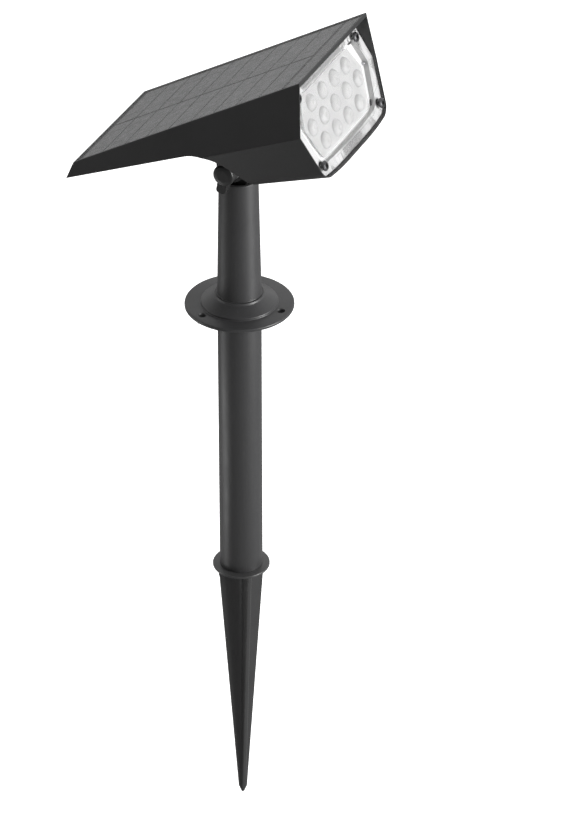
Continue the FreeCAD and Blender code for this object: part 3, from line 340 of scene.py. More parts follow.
def paper():
    """White background paper, lit evenly, that throws little light back on the object."""
    made = Surface("paper", (0.9, 0.9, 0.9), 0.8)
    seen = made.node("LightPath").outputs["Is Camera Ray"]
    made.colour(made.blend(seen, (0.3, 0.3, 0.3), (0.95, 0.95, 0.95)))
    made.shader.inputs["Emission Color"].default_value = (1, 1, 1, 1)
    made.link(made.maths("MULTIPLY", seen, 0.75), made.shader.inputs["Emission Strength"])
    return made.material


BLACK = (0.014, 0.014, 0.0144)
BLACK_LIGHT = (0.019, 0.019, 0.0194)
# The edge colours are lighter than the black plastic itself: a painted highlight along the rounded
# edges of the mouldings.
PAINTED_EDGE_HIGHLIGHT = (0.02, 0.02, 0.0205)
PAINTED_EDGE_HIGHLIGHT_PALER = (0.027, 0.027, 0.0275)
SPIKE = (0.036, 0.036, 0.0365)
SPIKE_LIGHT = (0.046, 0.046, 0.0465)
KNOB_BLACK = (0.014, 0.014, 0.014)
KNOB_LIGHT = (0.02, 0.02, 0.02)
MATERIALS = {
    "black_plastic": moulded("black_plastic", BLACK, BLACK_LIGHT, 0.44, 0.35, 0.03),
    "painted_edge_highlight": moulded("painted_edge_highlight", PAINTED_EDGE_HIGHLIGHT, PAINTED_EDGE_HIGHLIGHT_PALER, 0.34, 0.35, 0.015),
    "spike_plastic": moulded("spike_plastic", SPIKE, SPIKE_LIGHT, 0.34, 0.3, 0.015),
    "tube_black": painted_tube(),
    "knob_plastic": moulded("knob_plastic", KNOB_BLACK, KNOB_LIGHT, 0.38, 0.25, 0.02),
    "steel": metal("steel", (0.62, 0.62, 0.64), 0.28, 0.3),
    "black_steel": metal("black_steel", (0.13, 0.13, 0.135), 0.3, 0.3),
    "brass": metal("brass", (0.72, 0.52, 0.24), 0.3, 0.3),
    "nylon": plain("nylon", (0.72, 0.72, 0.68), 0.5),
    "pcb_white": circuit("pcb_white", (0.86, 0.86, 0.86), (0.8, 0.8, 0.8)),
    "pcb_green": circuit("pcb_green", (0.04, 0.2, 0.09), (0.09, 0.32, 0.15)),
    "cells": silicon(),
    "ribbon": plain("ribbon", (0.075, 0.075, 0.077), 0.4, 0.6, 0.005, Specular_IOR_Level=0.35),
    "backing": plain("backing", (0.01, 0.01, 0.0105), 0.6, 0.5, 0.02),
    "clear_cover": clear("clear_cover", (0.98, 0.98, 0.98), 0.3, 0.38, 1.5, 0.001),
    "clear_lens": clear("clear_lens", (0.95, 0.95, 0.95), 0.2, 0.8, 2.0, 0.004),
    "clear_optics": optics(),
    "silicone": plain("silicone", (0.6, 0.6, 0.6), 0.6, 0.3, 0.02),
    "led": phosphor(),
    "battery_wrap": plain("battery_wrap", (0.05, 0.2, 0.5), 0.25, 2.0, 0.02),
    "cradle": moulded("cradle", (0.2, 0.2, 0.21), (0.24, 0.24, 0.25), 0.5, 0.4, 0.03),
    "component": plain("component", (0.05, 0.05, 0.05), 0.4),
    "button_rubber": plain("button_rubber", (0.05, 0.05, 0.05), 0.65, 0.3, 0.03, Sheen_Weight=0.2),
    "wire_red": plain("wire_red", (0.55, 0.03, 0.02), 0.35),
    "wire_black": plain("wire_black", (0.02, 0.02, 0.02), 0.35),
}


# ---------------------------------------------------------------- making meshes

SQUARE = ((-1, -1), (1, -1), (1, 1), (-1, 1))
# The most of a side that one rounding may take, and how near the axis a turned shape may come.
ROUNDING_SHARE = 0.49
AXIS_RADIUS = 1e-3
# Points and edges closer than these are one, and faces that turn less than these are one.
WELD = 1e-4
SLIVER = 1e-5
FLAT_AFTER_CUT = 0.2
NODE_WELD = 2e-3
NODE_SLIVER = 1e-3
NODE_FLAT = 0.5


def rounded(corners, closed=True, steps=5):
    """Points along an outline of (x, y, radius) corners, each rounded by an arc."""
    points = []
    count = len(corners)
    for number, (x, y, radius) in enumerate(corners):
        corner = Vector((x, y))
        if radius == 0 or (not closed and number in (0, count - 1)):
            points.append(corner)
            continue
        back = Vector(corners[number - 1][:2]) - corner
        ahead = Vector(corners[(number + 1) % count][:2]) - corner
        turn = math.pi - back.angle(ahead)
        reach = min(radius * math.tan(turn / 2), ROUNDING_SHARE * back.length,
                    ROUNDING_SHARE * ahead.length)
        true_radius = reach / math.tan(turn / 2)
        middle = (back.normalized() + ahead.normalized()).normalized()
        centre = corner + middle * (true_radius / math.cos(turn / 2))
        arm = corner + back.normalized() * reach - centre
        if back.x * ahead.y - back.y * ahead.x > 0:
            turn = -turn
        for step in range(steps + 1):
            angle = turn * step / steps
            points.append(centre + Matrix.Rotation(angle, 2) @ arm)
    return points


def ring_of(count, radius):
    """Evenly spaced points of a circle."""
    return [Vector((math.cos(angle), math.sin(angle))) * radius
            for angle in (2 * math.pi * number / count for number in range(count))]


def skin(loops, closed=False):
    """A surface through loops of points, all with the same count, closed end to end or capped."""
    made = bmesh.new()
    rings = [[made.verts.new(point) for point in loop] for loop in loops]
    pairs = list(zip(rings, rings[1:])) + ([(rings[-1], rings[0])] if closed else [])
    for first, second in pairs:
        for number in range(len(first)):
            after = (number + 1) % len(first)
            made.faces.new((first[number], first[after], second[after], second[number]))
    if not closed:
        made.faces.new(list(reversed(rings[0])))
        made.faces.new(rings[-1])
    bmesh.ops.remove_doubles(made, verts=made.verts, dist=WELD)
    bmesh.ops.dissolve_degenerate(made, dist=SLIVER, edges=made.edges)
    bmesh.ops.recalc_face_normals(made, faces=made.faces)
    return made


def lathe(corners, segments, hollow=False, steps=5):
    """A turned shape from (radius, height, rounding) corners around Z."""
    outline = [(max(radius, AXIS_RADIUS), height, rounding)
               for radius, height, rounding in corners]
    loops = [[(point.x, point.y, height) for point in ring_of(segments, radius)]
             for radius, height in rounded(outline, closed=hollow, steps=steps)]
    return skin(loops, closed=hollow)


def cylinder(radius, low, high, segments):
    """A plain solid cylinder around Z."""
    return lathe([(0, low, 0), (radius, low, 0), (radius, high, 0), (0, high, 0)], segments)


def sleeve(inner, outer, low, high, roundings, segments, steps=5):
    """A tube around Z, with a rounding for its inner edges and one for its outer edges."""
    inside, outside = roundings
    return lathe([(inner, low, inside), (outer, low, outside), (outer, high, outside),
                  (inner, high, inside)], segments, hollow=True, steps=steps)


def prism(outline, low, high, shrink=1.0):
    """A block with the given outline, whose top may be drawn in a little."""
    return skin([[(x, y, low) for x, y in outline],
                 [(x * shrink, y * shrink, high) for x, y in outline]])


def moved(shape, matrix):
    """The shape itself, moved by a matrix."""
    bmesh.ops.transform(shape, matrix=matrix, verts=shape.verts)
    return shape


def shift(shape, x=0, y=0, z=0, about_z=0):
    """Turn a shape about Z by an angle in degrees and move it, in millimetres."""
    turn = Matrix.Rotation(math.radians(about_z), 4, "Z")
    return moved(shape, Matrix.Translation((x, y, z)) @ turn)


def together(*shapes):
    """Several shapes as one bmesh, without joining them."""
    made = bmesh.new()
    for shape in shapes:
        mesh = bpy.data.meshes.new("part")
        shape.to_mesh(mesh)
        made.from_mesh(mesh)
        bpy.data.meshes.remove(mesh)
        shape.free()
    return made


def scratch_object(shape):
    """A passing object for the boolean steps."""
    mesh = bpy.data.meshes.new("scratch")
    shape.to_mesh(mesh)
    shape.free()
    made = bpy.data.objects.new("scratch", mesh)
    bpy.context.scene.collection.objects.link(made)
    return made


def combine(operation, base, *tools):
    """Join, cut or intersect shapes, one tool after another."""
    result = scratch_object(base)
    for tool in tools:
        other = scratch_object(tool)
        step = result.modifiers.new("step", "BOOLEAN")
        step.operation = operation
        step.solver = "EXACT"
        step.object = other
        evaluated = result.evaluated_get(bpy.context.evaluated_depsgraph_get())
        mesh = bpy.data.meshes.new_from_object(evaluated)
        result.modifiers.clear()
        result.data = mesh
        bpy.data.objects.remove(other)
    made = bmesh.new()
    made.from_mesh(result.data)
    bpy.data.objects.remove(result)
    bmesh.ops.dissolve_limit(made, angle_limit=math.radians(FLAT_AFTER_CUT), verts=made.verts,
                             edges=made.edges)
    return made


# ---------------------------------------------------------------- making pieces

def new_piece(name, shape, slot, nodes, place=None, material=None, smooth=35):
    """A piece from a shape in millimetres: it stands for CAD nodes and rides on their body."""
    bmesh.ops.scale(shape, vec=(MM, MM, MM), verts=shape.verts)
    mesh = bpy.data.meshes.new(name)
    shape.to_mesh(mesh)
    shape.free()
    mesh.shade_smooth()
    mesh.set_sharp_from_angle(angle=math.radians(smooth))
    piece = bpy.data.objects.new(name, mesh)
    bpy.context.scene.collection.objects.link(piece)
    if place is not None:
        piece.matrix_world = place
    mesh.materials.append(MATERIALS[material or slot])
    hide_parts(*nodes)
    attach(piece, NODES[nodes[0]]["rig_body"])
    return piece


BEVEL_FROM_ANGLE = 32


def soften(piece, width, segments=3, edge=None):
    """Round a piece's sharp edges by width millimetres; a lighter edge material, if given, paints a
    highlight on the rounded edges.
    """
    bevel = piece.modifiers.new("edges", "BEVEL")
    bevel.width = width * MM
    bevel.segments = segments
    bevel.limit_method = "ANGLE"
    bevel.angle_limit = math.radians(BEVEL_FROM_ANGLE)
    bevel.miter_outer = "MITER_ARC"
    if edge is not None:
        # The bevel's faces take the edge material: with the lighter edge plastic this is a painted
        # highlight.
        piece.data.materials.append(MATERIALS[edge])
        bevel.material = 1
    normals = piece.modifiers.new("normals", "WEIGHTED_NORMAL")
    normals.keep_sharp = True
    piece.data.shade_smooth()
    return piece


CROWN_HEIGHT = 1.9
CROWN_START = 12
CROWN_END = 41
CROWN_STEPS = 9


def crown(shape, place):
    """Bow the belly's floor: its sides rise towards the front, and its middle stays."""
    to_head = HEAD.inverted() @ place @ Matrix.Scale(MM, 4)
    for side in (-1, 1):
        for step in range(CROWN_STEPS):
            x = side * (CROWN_START + (CROWN_END - CROWN_START) * step / (CROWN_STEPS - 1))
            bmesh.ops.bisect_plane(shape, geom=shape.verts[:] + shape.edges[:] + shape.faces[:],
                                   plane_co=(x, 0, 0), plane_no=(1, 0, 0))
    back = to_head.inverted()
    belly_slope = math.tan(math.radians(BELLY_LEAN))
    for point in shape.verts:
        x, y, z = to_head @ point.co / MM
        fold = FOLD_DEPTH_REAR - FOLD_SLOPE * y
        floor = BELLY_CORNER[1] - belly_slope * (y + BELLY_CORNER[0])
        low = min(max((-z - fold) / (floor - fold), 0), 1)
        out = min(max((abs(x) - CROWN_START) / (CROWN_END - CROWN_START), 0), 1)
        ahead = min(max((-y - BELLY_CORNER[0]) / (NOSE_CORNER[0] - BELLY_CORNER[0]), 0), 1)
        point.co = back @ (Vector((x, y, z + low * ahead * CROWN_HEIGHT * out * out)) * MM)
    return shape


def refined(name, node, slot, width, edge=None, segments=3, crowned=False):
    """A piece of the CAD node's own shape, with clean faces and rounded edges."""
    shape = bmesh.new()
    shape.from_mesh(NODES[node].data)
    bmesh.ops.scale(shape, vec=(1 / MM, 1 / MM, 1 / MM), verts=shape.verts)
    bmesh.ops.remove_doubles(shape, verts=shape.verts, dist=NODE_WELD)
    bmesh.ops.dissolve_limit(shape, angle_limit=math.radians(NODE_FLAT), verts=shape.verts,
                             edges=shape.edges)
    bmesh.ops.dissolve_degenerate(shape, dist=NODE_SLIVER, edges=shape.edges)
    if crowned:
        crown(shape, Matrix.Identity(4))
    piece = new_piece(name, shape, slot, [node], smooth=180)
    return soften(piece, width, segments, edge)


# ---------------------------------------------------------------- spike, tube and pole

SPIKE_DEPTH = 167.5
SPIKE_STATIONS = 24
TIP_REACH = 0.8
RIB_TIP_HEIGHT = 4
RIB_TIP_REACH = 2.4
RIB_REACH = 13.9
RIB_HALF = 1.3
THICKEST_RIB = 0.62
RIB_END_ROUNDING = 0.45
RIB_FILLET = 0.42
ROOT_DISC = ((0, -5), (6, -5), (6, -2.6), (8.8, -2.5), (9, -2.2), (9, 0))
COLLAR_RADIUS = 16.7
COLLAR_THICKNESS = 1.5
TUBE_RADIUS = 12.5
TUBE_WALL = 1.5
TUBE_TOP = 177
PLUG_RADIUS = 10.85
PLUG_BORE = PLUG_RADIUS - 2
PLUG_LENGTH = 24
PLUG_FOOT = 153
FLANGE_RADIUS = 31
FLANGE_TOP = 179
CONE_RADIUS = 21.8
POLE_FOOT_RADIUS = 12.55
POLE_TOP_RADIUS = 11.1
POLE_MOUTH = 9.1
POLE_TOP = 259
HOLE_CIRCLE = 25.5
HOLE_RADIUS = 1.95
HOLE_MOUTH = 2.5
BOSS_FOOT = 174.6


def rib_cross(reach):
    """The outline of four ribs with rounded ends and hollow fillets between them."""
    half = min(RIB_HALF, THICKEST_RIB * reach)
    end = RIB_END_ROUNDING * half
    fillet = RIB_FILLET * (reach - half)
    quarter = rounded([(reach, 0, 0), (reach, half, end), (half, half, fillet),
                       (half, reach, end), (0, reach, 0)], closed=False)[:-1]
    return [Matrix.Rotation(math.radians(90 * number), 2) @ point
            for number in range(4) for point in quarter]


def spike_shape():
    """Four ribs that taper to a point, under a root disc, a round collar and a hollow plug."""
    ribs_end = SPIKE_DEPTH - RIB_TIP_HEIGHT
    stations = [(SPIKE_DEPTH, TIP_REACH), (ribs_end, RIB_TIP_REACH)]
    for station in range(SPIKE_STATIONS - 1, 0, -1):
        stations.append((ribs_end * station / SPIKE_STATIONS,
                         RIB_REACH + (RIB_TIP_REACH - RIB_REACH) * station / SPIKE_STATIONS))
    loops = [[(x, y, -depth) for x, y in rib_cross(reach)] for depth, reach in stations]
    top = rib_cross(RIB_REACH)
    for radius, height in ROOT_DISC:
        grown = [point.normalized() * max(point.length, radius) for point in top]
        loops.append([(x, y, height) for x, y in grown])
    plug_top = COLLAR_THICKNESS + PLUG_LENGTH
    collar = rounded([(COLLAR_RADIUS - 2, 0, 0), (COLLAR_RADIUS, 0, 0.5),
                      (COLLAR_RADIUS, COLLAR_THICKNESS, 0.6),
                      (PLUG_RADIUS, COLLAR_THICKNESS, 0.2), (PLUG_RADIUS, plug_top, 0.5),
                      (PLUG_BORE, plug_top, 0.4), (PLUG_BORE, COLLAR_THICKNESS, 0)],
                     closed=False, steps=4)
    for radius, height in collar:
        loops.append([(x, y, height) for x, y in ring_of(len(top), radius)])
    return shift(skin(loops), about_z=45)


def pole_shape():
    """The tapered pole with its flange, raised cone and bead, and the plug in the tube."""
    body = lathe([
        (PLUG_BORE, PLUG_FOOT, 0.3), (PLUG_RADIUS, PLUG_FOOT, 0.8), (PLUG_RADIUS, TUBE_TOP, 0.2),
        (FLANGE_RADIUS, TUBE_TOP, 0.5), (FLANGE_RADIUS, FLANGE_TOP, 0.8),
        (CONE_RADIUS, FLANGE_TOP, 0.6), (CONE_RADIUS, 180.4, 0.7), (14.5, 184.4, 1.4),
        (13.9, 185.6, 0.5), (POLE_FOOT_RADIUS, 185.3, 0.4), (POLE_TOP_RADIUS, POLE_TOP, 0.5),
        (POLE_MOUTH, POLE_TOP, 0.4), (PLUG_BORE, TUBE_TOP, 2)], 128, hollow=True)
    hole = [(0, 170, 0), (HOLE_RADIUS, 170, 0), (HOLE_RADIUS, 178.4, 0.3),
            (HOLE_MOUTH, 179.05, 0), (HOLE_MOUTH, 185, 0), (0, 185, 0)]
    boss = [(0, BOSS_FOOT, 0), (3.2, BOSS_FOOT, 0.3), (3.4, TUBE_TOP + 0.5, 0),
            (0, TUBE_TOP + 0.5, 0)]
    centres = [(HOLE_CIRCLE * math.cos(angle), HOLE_CIRCLE * math.sin(angle))
               for angle in (math.radians(-90 + 120 * third) for third in range(3))]
    bosses = together(*[shift(lathe(boss, 32), *centre) for centre in centres])
    drills = together(*[shift(lathe(hole, 32), *centre) for centre in centres])
    return combine("DIFFERENCE", combine("UNION", body, bosses), drills)


def make_stake_and_pole():
    """What stands in the ground, from the spike's tip up to the tongue that carries the head."""
    new_piece("spike", spike_shape(), "black_plastic", ["ground_spike"],
              material="spike_plastic", smooth=40)
    tube = sleeve(TUBE_RADIUS - TUBE_WALL, TUBE_RADIUS, COLLAR_THICKNESS, TUBE_TOP, (0.2, 0.35),
                  128)
    new_piece("tube", tube, "tube_black", ["extension_tube"])
    new_piece("pole", pole_shape(), "black_plastic", ["upper_pole"], material="tube_black")
    refined("tongue", "hinge_tongue", "black_plastic", 0.5)


# ---------------------------------------------------------------- screws and hinge hardware

SLOT_WIDTH = 0.3
SLOT_TAPER = 0.55
SLOT_REACH = 0.56
SLOT_DEPTH = 0.7
SCREW_SHANK = 1.2
BOLT_RADIUS = 2.5
BOLT_END = -19.8
BOLT_HEAD_RADIUS = 4.6
BOLT_HEAD_HEIGHT = 3.2
EAR_OUTSIDE = 10.6
WASHER_BORE = 2.6
WASHER_RADIUS = 6.5
WASHER_THICKNESS = 1
FRICTION_WASHERS = (-6.1, 5.1)
CLAMP_WASHER = 10.7
KNOB_START = 11.8
KNOB_LENGTH = 9.5
KNOB_TURN = -10
HUB_RADIUS = 6.2
WING_REACH = 11.5
WING_HALF = 2.8
WING_ROUNDING = 1.8
WING_INSET = 1.4
BUSH_RADIUS = 3.7
BUSH_LENGTH = 5
KNOB_BORE_RADIUS = 2.82
KNOB_BORE_LENGTH = 8.2


def cross_recess(reach, depth, top):
    """The cutter for a cross-slotted screw head."""
    outline = [Vector((SLOT_WIDTH * reach * x, reach * y)) for x, y in SQUARE]
    blades = [prism(outline, top + 1, top - depth, SLOT_TAPER) for _ in range(2)]
    return combine("UNION", blades[0], shift(blades[1], about_z=90))


def pan_screw(radius, height, length, turn):
    """A pan head with a cross recess, over a shank that ends in a point."""
    body = lathe([(0, -length, 0), (0.3 * SCREW_SHANK, -length, 0),
                  (SCREW_SHANK, -length + 2 * SCREW_SHANK, 0), (SCREW_SHANK, -0.1, 0),
                  (radius, 0, 0.15), (radius, 0.45 * height, 0.3),
                  (0.72 * radius, 0.93 * height, 0.5), (0.3 * radius, height, 0.4),
                  (0, height, 0)], 40)
    recess = cross_recess(SLOT_REACH * radius, SLOT_DEPTH * height, height)
    return shift(combine("DIFFERENCE", body, recess), about_z=turn)


def bolt_shape():
    """A six-sided head with turned-down corners, and a round shank with a rounded end."""
    head_end = EAR_OUTSIDE + BOLT_HEAD_HEIGHT
    hexagon = prism(ring_of(6, BOLT_HEAD_RADIUS), EAR_OUTSIDE, head_end)
    cone = lathe([(0, EAR_OUTSIDE - 1, 0), (6, EAR_OUTSIDE - 1, 0), (6, head_end - 1.2, 0),
                  (3.9, head_end + 0.02, 0), (0, head_end + 0.02, 0)], 48)
    head = combine("INTERSECT", hexagon, cone)
    shank = lathe([(0, BOLT_END, 0), (BOLT_RADIUS, BOLT_END, 0.7),
                   (BOLT_RADIUS, EAR_OUTSIDE + 0.5, 0), (0, EAR_OUTSIDE + 0.5, 0)], 48)
    return combine("UNION", head, shank)


def knob_shape():
    """The knob: a rounded hub with two flat wings, a seat for the bush and a hole for the bolt."""
    end = KNOB_START + KNOB_LENGTH
    corners = [(WING_REACH * x, WING_HALF * y, WING_ROUNDING) for x, y in SQUARE]
    wings = prism(rounded(corners), KNOB_START + WING_INSET, end - WING_INSET)
    hub = lathe([(0, KNOB_START, 0), (HUB_RADIUS, KNOB_START, 0.6), (HUB_RADIUS, end - 0.5, 1.6),
                 (3.4, end, 0.8), (0, end, 0)], 64)
    seat = cylinder(BUSH_RADIUS, KNOB_START - 1, KNOB_START + BUSH_LENGTH, 48)
    bore = cylinder(KNOB_BORE_RADIUS, KNOB_START + 4, KNOB_START + KNOB_BORE_LENGTH, 48)
    whole = combine("DIFFERENCE", combine("UNION", hub, wings), seat, bore)
    return shift(whole, about_z=KNOB_TURN)


def washer_shape(start):
    """A flat washer whose near face is at the start."""
    return sleeve(WASHER_BORE, WASHER_RADIUS, start, start + WASHER_THICKNESS, (0.15, 0.2), 64,
                  steps=3)


def make_hinge():
    """The bolt through the hinge, its washers, and the knob that clamps them."""
    bolt = new_piece("bolt", bolt_shape(), "steel", ["hinge_bolt"], BOLT, "black_steel")
    soften(bolt, 0.2, 2)
    washers = together(*[washer_shape(start) for start in FRICTION_WASHERS])
    new_piece("washers", washers, "nylon", ["friction_washers"], BOLT)
    new_piece("clamp_washer", washer_shape(CLAMP_WASHER), "steel", ["knob_washer"], KNOB)
    knob = new_piece("knob", knob_shape(), "knob_plastic", ["wing_knob"], KNOB)
    # The knob's rounded edges get a painted highlight in a lighter plastic.
    soften(knob, 0.4, edge="painted_edge_highlight")
    bush = sleeve(WASHER_BORE, BUSH_RADIUS, KNOB_START, KNOB_START + BUSH_LENGTH, (0.2, 0.2), 48)
    new_piece("bush", bush, "brass", ["knob_nut"], KNOB)


# ---------------------------------------------------------------- panel

PANEL_LENGTH = 153.2
PANEL_HALF = 43.35
PANEL_REAR = 1.65
PANEL_CORNER = 0.8
RECESS = 1.6
BACKING_TOP = -0.8
CELL_TOP = -0.6
CELL_MARGIN = 1
CELL_CORNER = 0.4
CELL_GAP = 0.8
COLUMN_GAP = 1.8
STRIPS = 9
RIBBON_PLACES = (-0.75, -0.25, 0.25, 0.75)
RIBBON_HALF = 0.6
RIBBON_THICKNESS = 0.05
COLLECTOR_GAP = 1.6
COLLECTOR_WIDTH = 9.5


def block(x0, x1, y0, y1, low, high, corner=0.0):
    """A flat block with rounded upright edges."""
    corners = [(x0, y0, corner), (x1, y0, corner), (x1, y1, corner), (x0, y1, corner)]
    return prism(rounded(corners, steps=3), low, high)


def make_panel():
    """The laminated panel: backing, two columns of silicon strips, ribbons and a clear sheet."""
    rear, front = -PANEL_REAR, -PANEL_REAR - PANEL_LENGTH
    backing = block(-PANEL_HALF, PANEL_HALF, front, rear, -RECESS, BACKING_TOP, PANEL_CORNER)
    new_piece("backing", backing, "cells", ["panel_backing"], HEAD, "backing")
    cell_edge = PANEL_HALF - CELL_MARGIN
    cells = []
    for side in (-1, 1):
        near, far = sorted((side * COLUMN_GAP / 2, side * cell_edge))
        for strip in range(STRIPS):
            start = -CELLS_START - strip * CELL_PITCH
            end = start - CELL_PITCH + CELL_GAP
            cells.append(block(near, far, end, start, BACKING_TOP, CELL_TOP, CELL_CORNER))
    new_piece("silicon", together(*cells), "cells", ["solar_cells"], HEAD)
    field_end = -CELLS_START - STRIPS * CELL_PITCH
    ribbon_top = CELL_TOP + RIBBON_THICKNESS
    ribbons = [block(x - RIBBON_HALF, x + RIBBON_HALF, field_end - 2, -CELLS_START - 1, CELL_TOP,
                     ribbon_top) for x in (share * PANEL_HALF for share in RIBBON_PLACES)]
    collector_end = field_end - COLLECTOR_GAP
    ribbons.append(block(-cell_edge, cell_edge, collector_end - COLLECTOR_WIDTH, collector_end,
                         BACKING_TOP, CELL_TOP, CELL_CORNER))
    new_piece("ribbons", together(*ribbons), "ribbon", ["cell_ribbons"], HEAD)
    sheet = block(-PANEL_HALF, PANEL_HALF, front, rear, ribbon_top, 0, PANEL_CORNER)
    new_piece("laminate", sheet, "clear_cover", ["panel_cover"], HEAD)


# ---------------------------------------------------------------- lens and light

LENS_SCREWS = [(side * 38.6, y) for side in (-1, 1) for y in (19.8, -20.7)]
LENS_SCREW_TURNS = (20, 65, 40, 5)
LENS_SCREW_HEAD = (2.9, 1.5)
LENS_SCREW_LENGTH = 10
LENS_SCREW_HOLE = 1.7
GASKET_HOLE = 1.8
LENS_SETBACK = 0.3
LENS_THICKNESS = 1.8
LENS_BULGE = 1.2
LENS_WALL = 1.6
LENS_BACK = LENS_SETBACK + LENS_THICKNESS
SEAT = LENS_BACK + 0.8
LEDGE_BACK = SEAT + 2.5
LED_THICKNESS = 0.7
LED_HALF = 1.5
LED_PITCH = (15.3, 11.35)
LED_DROP = 0.9
LED_ROWS = ((-1, 4), (0, 5), (1, 4))
ARRAY_LOW = LED_THICKNESS + 0.1 - LEDGE_BACK
ARRAY_THICKNESS = 1
LENS_PLAY = 0.22
RIM_WALL = 0.7
TOP_HALF = 45
SIDE_FLARE = 0.25
CHAMFER_TAPER = 0.29
LENS_TOP_DEPTH = 3.4 + LENS_PLAY
FOLD_DEPTH = 26.8
LENS_LOW_DEPTH = 58.5 - 1.05 * RIM_WALL - 0.17 * SEAT
SMALL_CORNER = 2
LOW_CORNER = 6.9
LEDGE_WIDTH = 5.1
SKIRT_INSET = LEDGE_WIDTH + 0.15
SKIRT_WALL = 1


def led_centres():
    """Thirteen LEDs in three staggered rows of four, five and four."""
    return [(LED_PITCH[0] * (number - (count - 1) / 2), LED_PITCH[1] * row - LED_DROP)
            for row, count in LED_ROWS for number in range(count)]


def mirrored(right):
    """An outline from its right half, given from top to bottom."""
    return right + [(-x, y, radius) for x, y, radius in reversed(right)]


def lens_rim(inset):
    """The outline of the lens, moved inwards: two wide low corners and four small ones."""
    right = []
    for depth, move, radius in ((LENS_TOP_DEPTH, -1, SMALL_CORNER), (FOLD_DEPTH, 0, SMALL_CORNER),
                                (LENS_LOW_DEPTH, 1, LOW_CORNER)):
        half = (TOP_HALF + SIDE_FLARE * min(depth, FOLD_DEPTH)
                - CHAMFER_TAPER * max(depth - FOLD_DEPTH, 0))
        height = (LENS_DEPTH - depth) * math.hypot(1, RIM_SLOPE) + move * inset
        right.append((half - RIM_WALL - inset, height, radius))
    return rounded(mirrored(right))


def raised_middle(inset):
    """The outline of the raised middle of the lens, drawn back round the four screws."""
    return rounded(mirrored([
        (29.6 - inset, 21.4 - inset, 2), (30.6 - inset, 13.5, 5), (44.1 - inset, 11, 3),
        (47 - inset, 2, 5), (42.1 - inset, -12, 3), (30.1 - inset, -14.5, 5),
        (27.6 - inset, -22.4 + inset, 2)]))


def screw_holes(radius):
    """The cutters for the lens screws' holes."""
    return together(*[shift(cylinder(radius, -8, 4, 32), x, y) for x, y in LENS_SCREWS])


def lens_cover_shape():
    """A flat rim with four collared screw holes and a raised hollow middle."""
    top = LENS_BULGE - LENS_SETBACK
    rim = prism(lens_rim(LENS_PLAY), -LENS_BACK, -LENS_SETBACK)
    raised = prism(raised_middle(0), -LENS_SETBACK - 0.4, top, 0.985)
    hollow = prism(raised_middle(LENS_WALL), -LENS_BACK - 1, top - LENS_WALL, 0.985)
    collar = [(3.1, -0.5, 0), (4.1, -0.5, 0), (4.0, 0.1, 0.2), (3.2, 0.3, 0.2)]
    collars = [shift(lathe(collar, 40, hollow=True), x, y) for x, y in LENS_SCREWS]
    whole = combine("UNION", rim, raised, together(*collars))
    return combine("DIFFERENCE", whole, hollow, screw_holes(LENS_SCREW_HOLE))


def gasket_shape():
    """A soft frame on the ledge, with a skirt that lines the window down to the board."""
    outer = prism(lens_rim(LENS_PLAY), -SEAT, -LENS_BACK)
    skirt = prism(lens_rim(SKIRT_INSET), 0.05 - LEDGE_BACK, -LENS_BACK)
    opening = prism(lens_rim(SKIRT_INSET + SKIRT_WALL), -LEDGE_BACK - 1, 0)
    return combine("DIFFERENCE", combine("UNION", outer, skirt), opening, screw_holes(GASKET_HOLE))


def dome_shape():
    """One collimating dome with a small dimple in its crown."""
    return shift(lathe([(0, 0.3, 0), (4.9, 0.3, 0), (4.9, 1.1, 0.4), (4.5, 1.9, 1.5),
                        (3.2, 3.0, 2), (1.6, 3.3, 0.8), (1.0, 3.0, 0.5), (0, 2.9, 0)], 40),
                 z=ARRAY_LOW)


def emitter_shape(x, y):
    """One LED: a square body with a shallow round well in its face."""
    face = LED_THICKNESS - LEDGE_BACK
    body = block(x - LED_HALF, x + LED_HALF, y - LED_HALF, y + LED_HALF, -LEDGE_BACK, face, 0.3)
    well = lathe([(0, -0.2, 0), (1.1, -0.2, 0), (1.3, 0.3, 0), (0, 0.3, 0)], 24)
    return combine("DIFFERENCE", body, shift(well, x, y, face))


def make_light():
    """The light in the head's front: board, LEDs, domes, gasket, and the cover with its screws."""
    refined("led_plate", "led_board", "pcb_white", 0.15, segments=1)
    emitters = [emitter_shape(x, y) for x, y in led_centres()]
    new_piece("emitters", together(*emitters), "led", ["led_chips"], LENS)
    outline = rounded(mirrored([(31, 17.5, 3), (39, 2, 3), (31, -19.5, 3)]))
    plate = prism(outline, ARRAY_LOW, ARRAY_LOW + ARRAY_THICKNESS)
    domes = [shift(dome_shape(), x, y) for x, y in led_centres()]
    optic = combine("UNION", plate, together(*domes))
    new_piece("domes", optic, "clear_lens", ["lens_array"], LENS, "clear_optics", smooth=50)
    gasket = crown(gasket_shape(), LENS)
    soften(new_piece("gasket", gasket, "silicone", ["lens_gasket"], LENS), 0.2, 2)
    cover = new_piece("lens", crown(lens_cover_shape(), LENS), "clear_lens", ["lens_cover"], LENS)
    soften(cover, 0.45)
    screws = [shift(pan_screw(*LENS_SCREW_HEAD, LENS_SCREW_LENGTH, turn), x, y, -LENS_SETBACK)
              for (x, y), turn in zip(LENS_SCREWS, LENS_SCREW_TURNS)]
    new_piece("cover_screws", together(*screws), "steel", ["lens_screws"], LENS, "black_steel")


# ---------------------------------------------------------------- housing and controls

TAIL_DEPTH = 8.14
TAIL_SLOPE = 0.1154
# How far each pair is along the head, how far out of its middle, and how long its screws are.
HOUSING_SCREWS = [(12, 33, 6), (60, 34, 9)]
HOUSING_SCREW_HEAD = (2.8, 1.6)
HOUSING_SCREW_TURN = 25
BUTTON_ALONG = 16
BUTTON_PROFILE = [
    (0, -3.8, 0), (2, -3.8, 0.2), (2, -3.2, 0.1), (6.7, -3.3, 0.2), (6.7, -2.3, 0.2),
    (5.5, -2.2, 0.1), (5.5, 1.6, 0.7), (4.4, 2.0, 0.4), (3.9, 1.6, 0.3), (3.4, 1.9, 0.5),
    (0, 1.5, 0)]
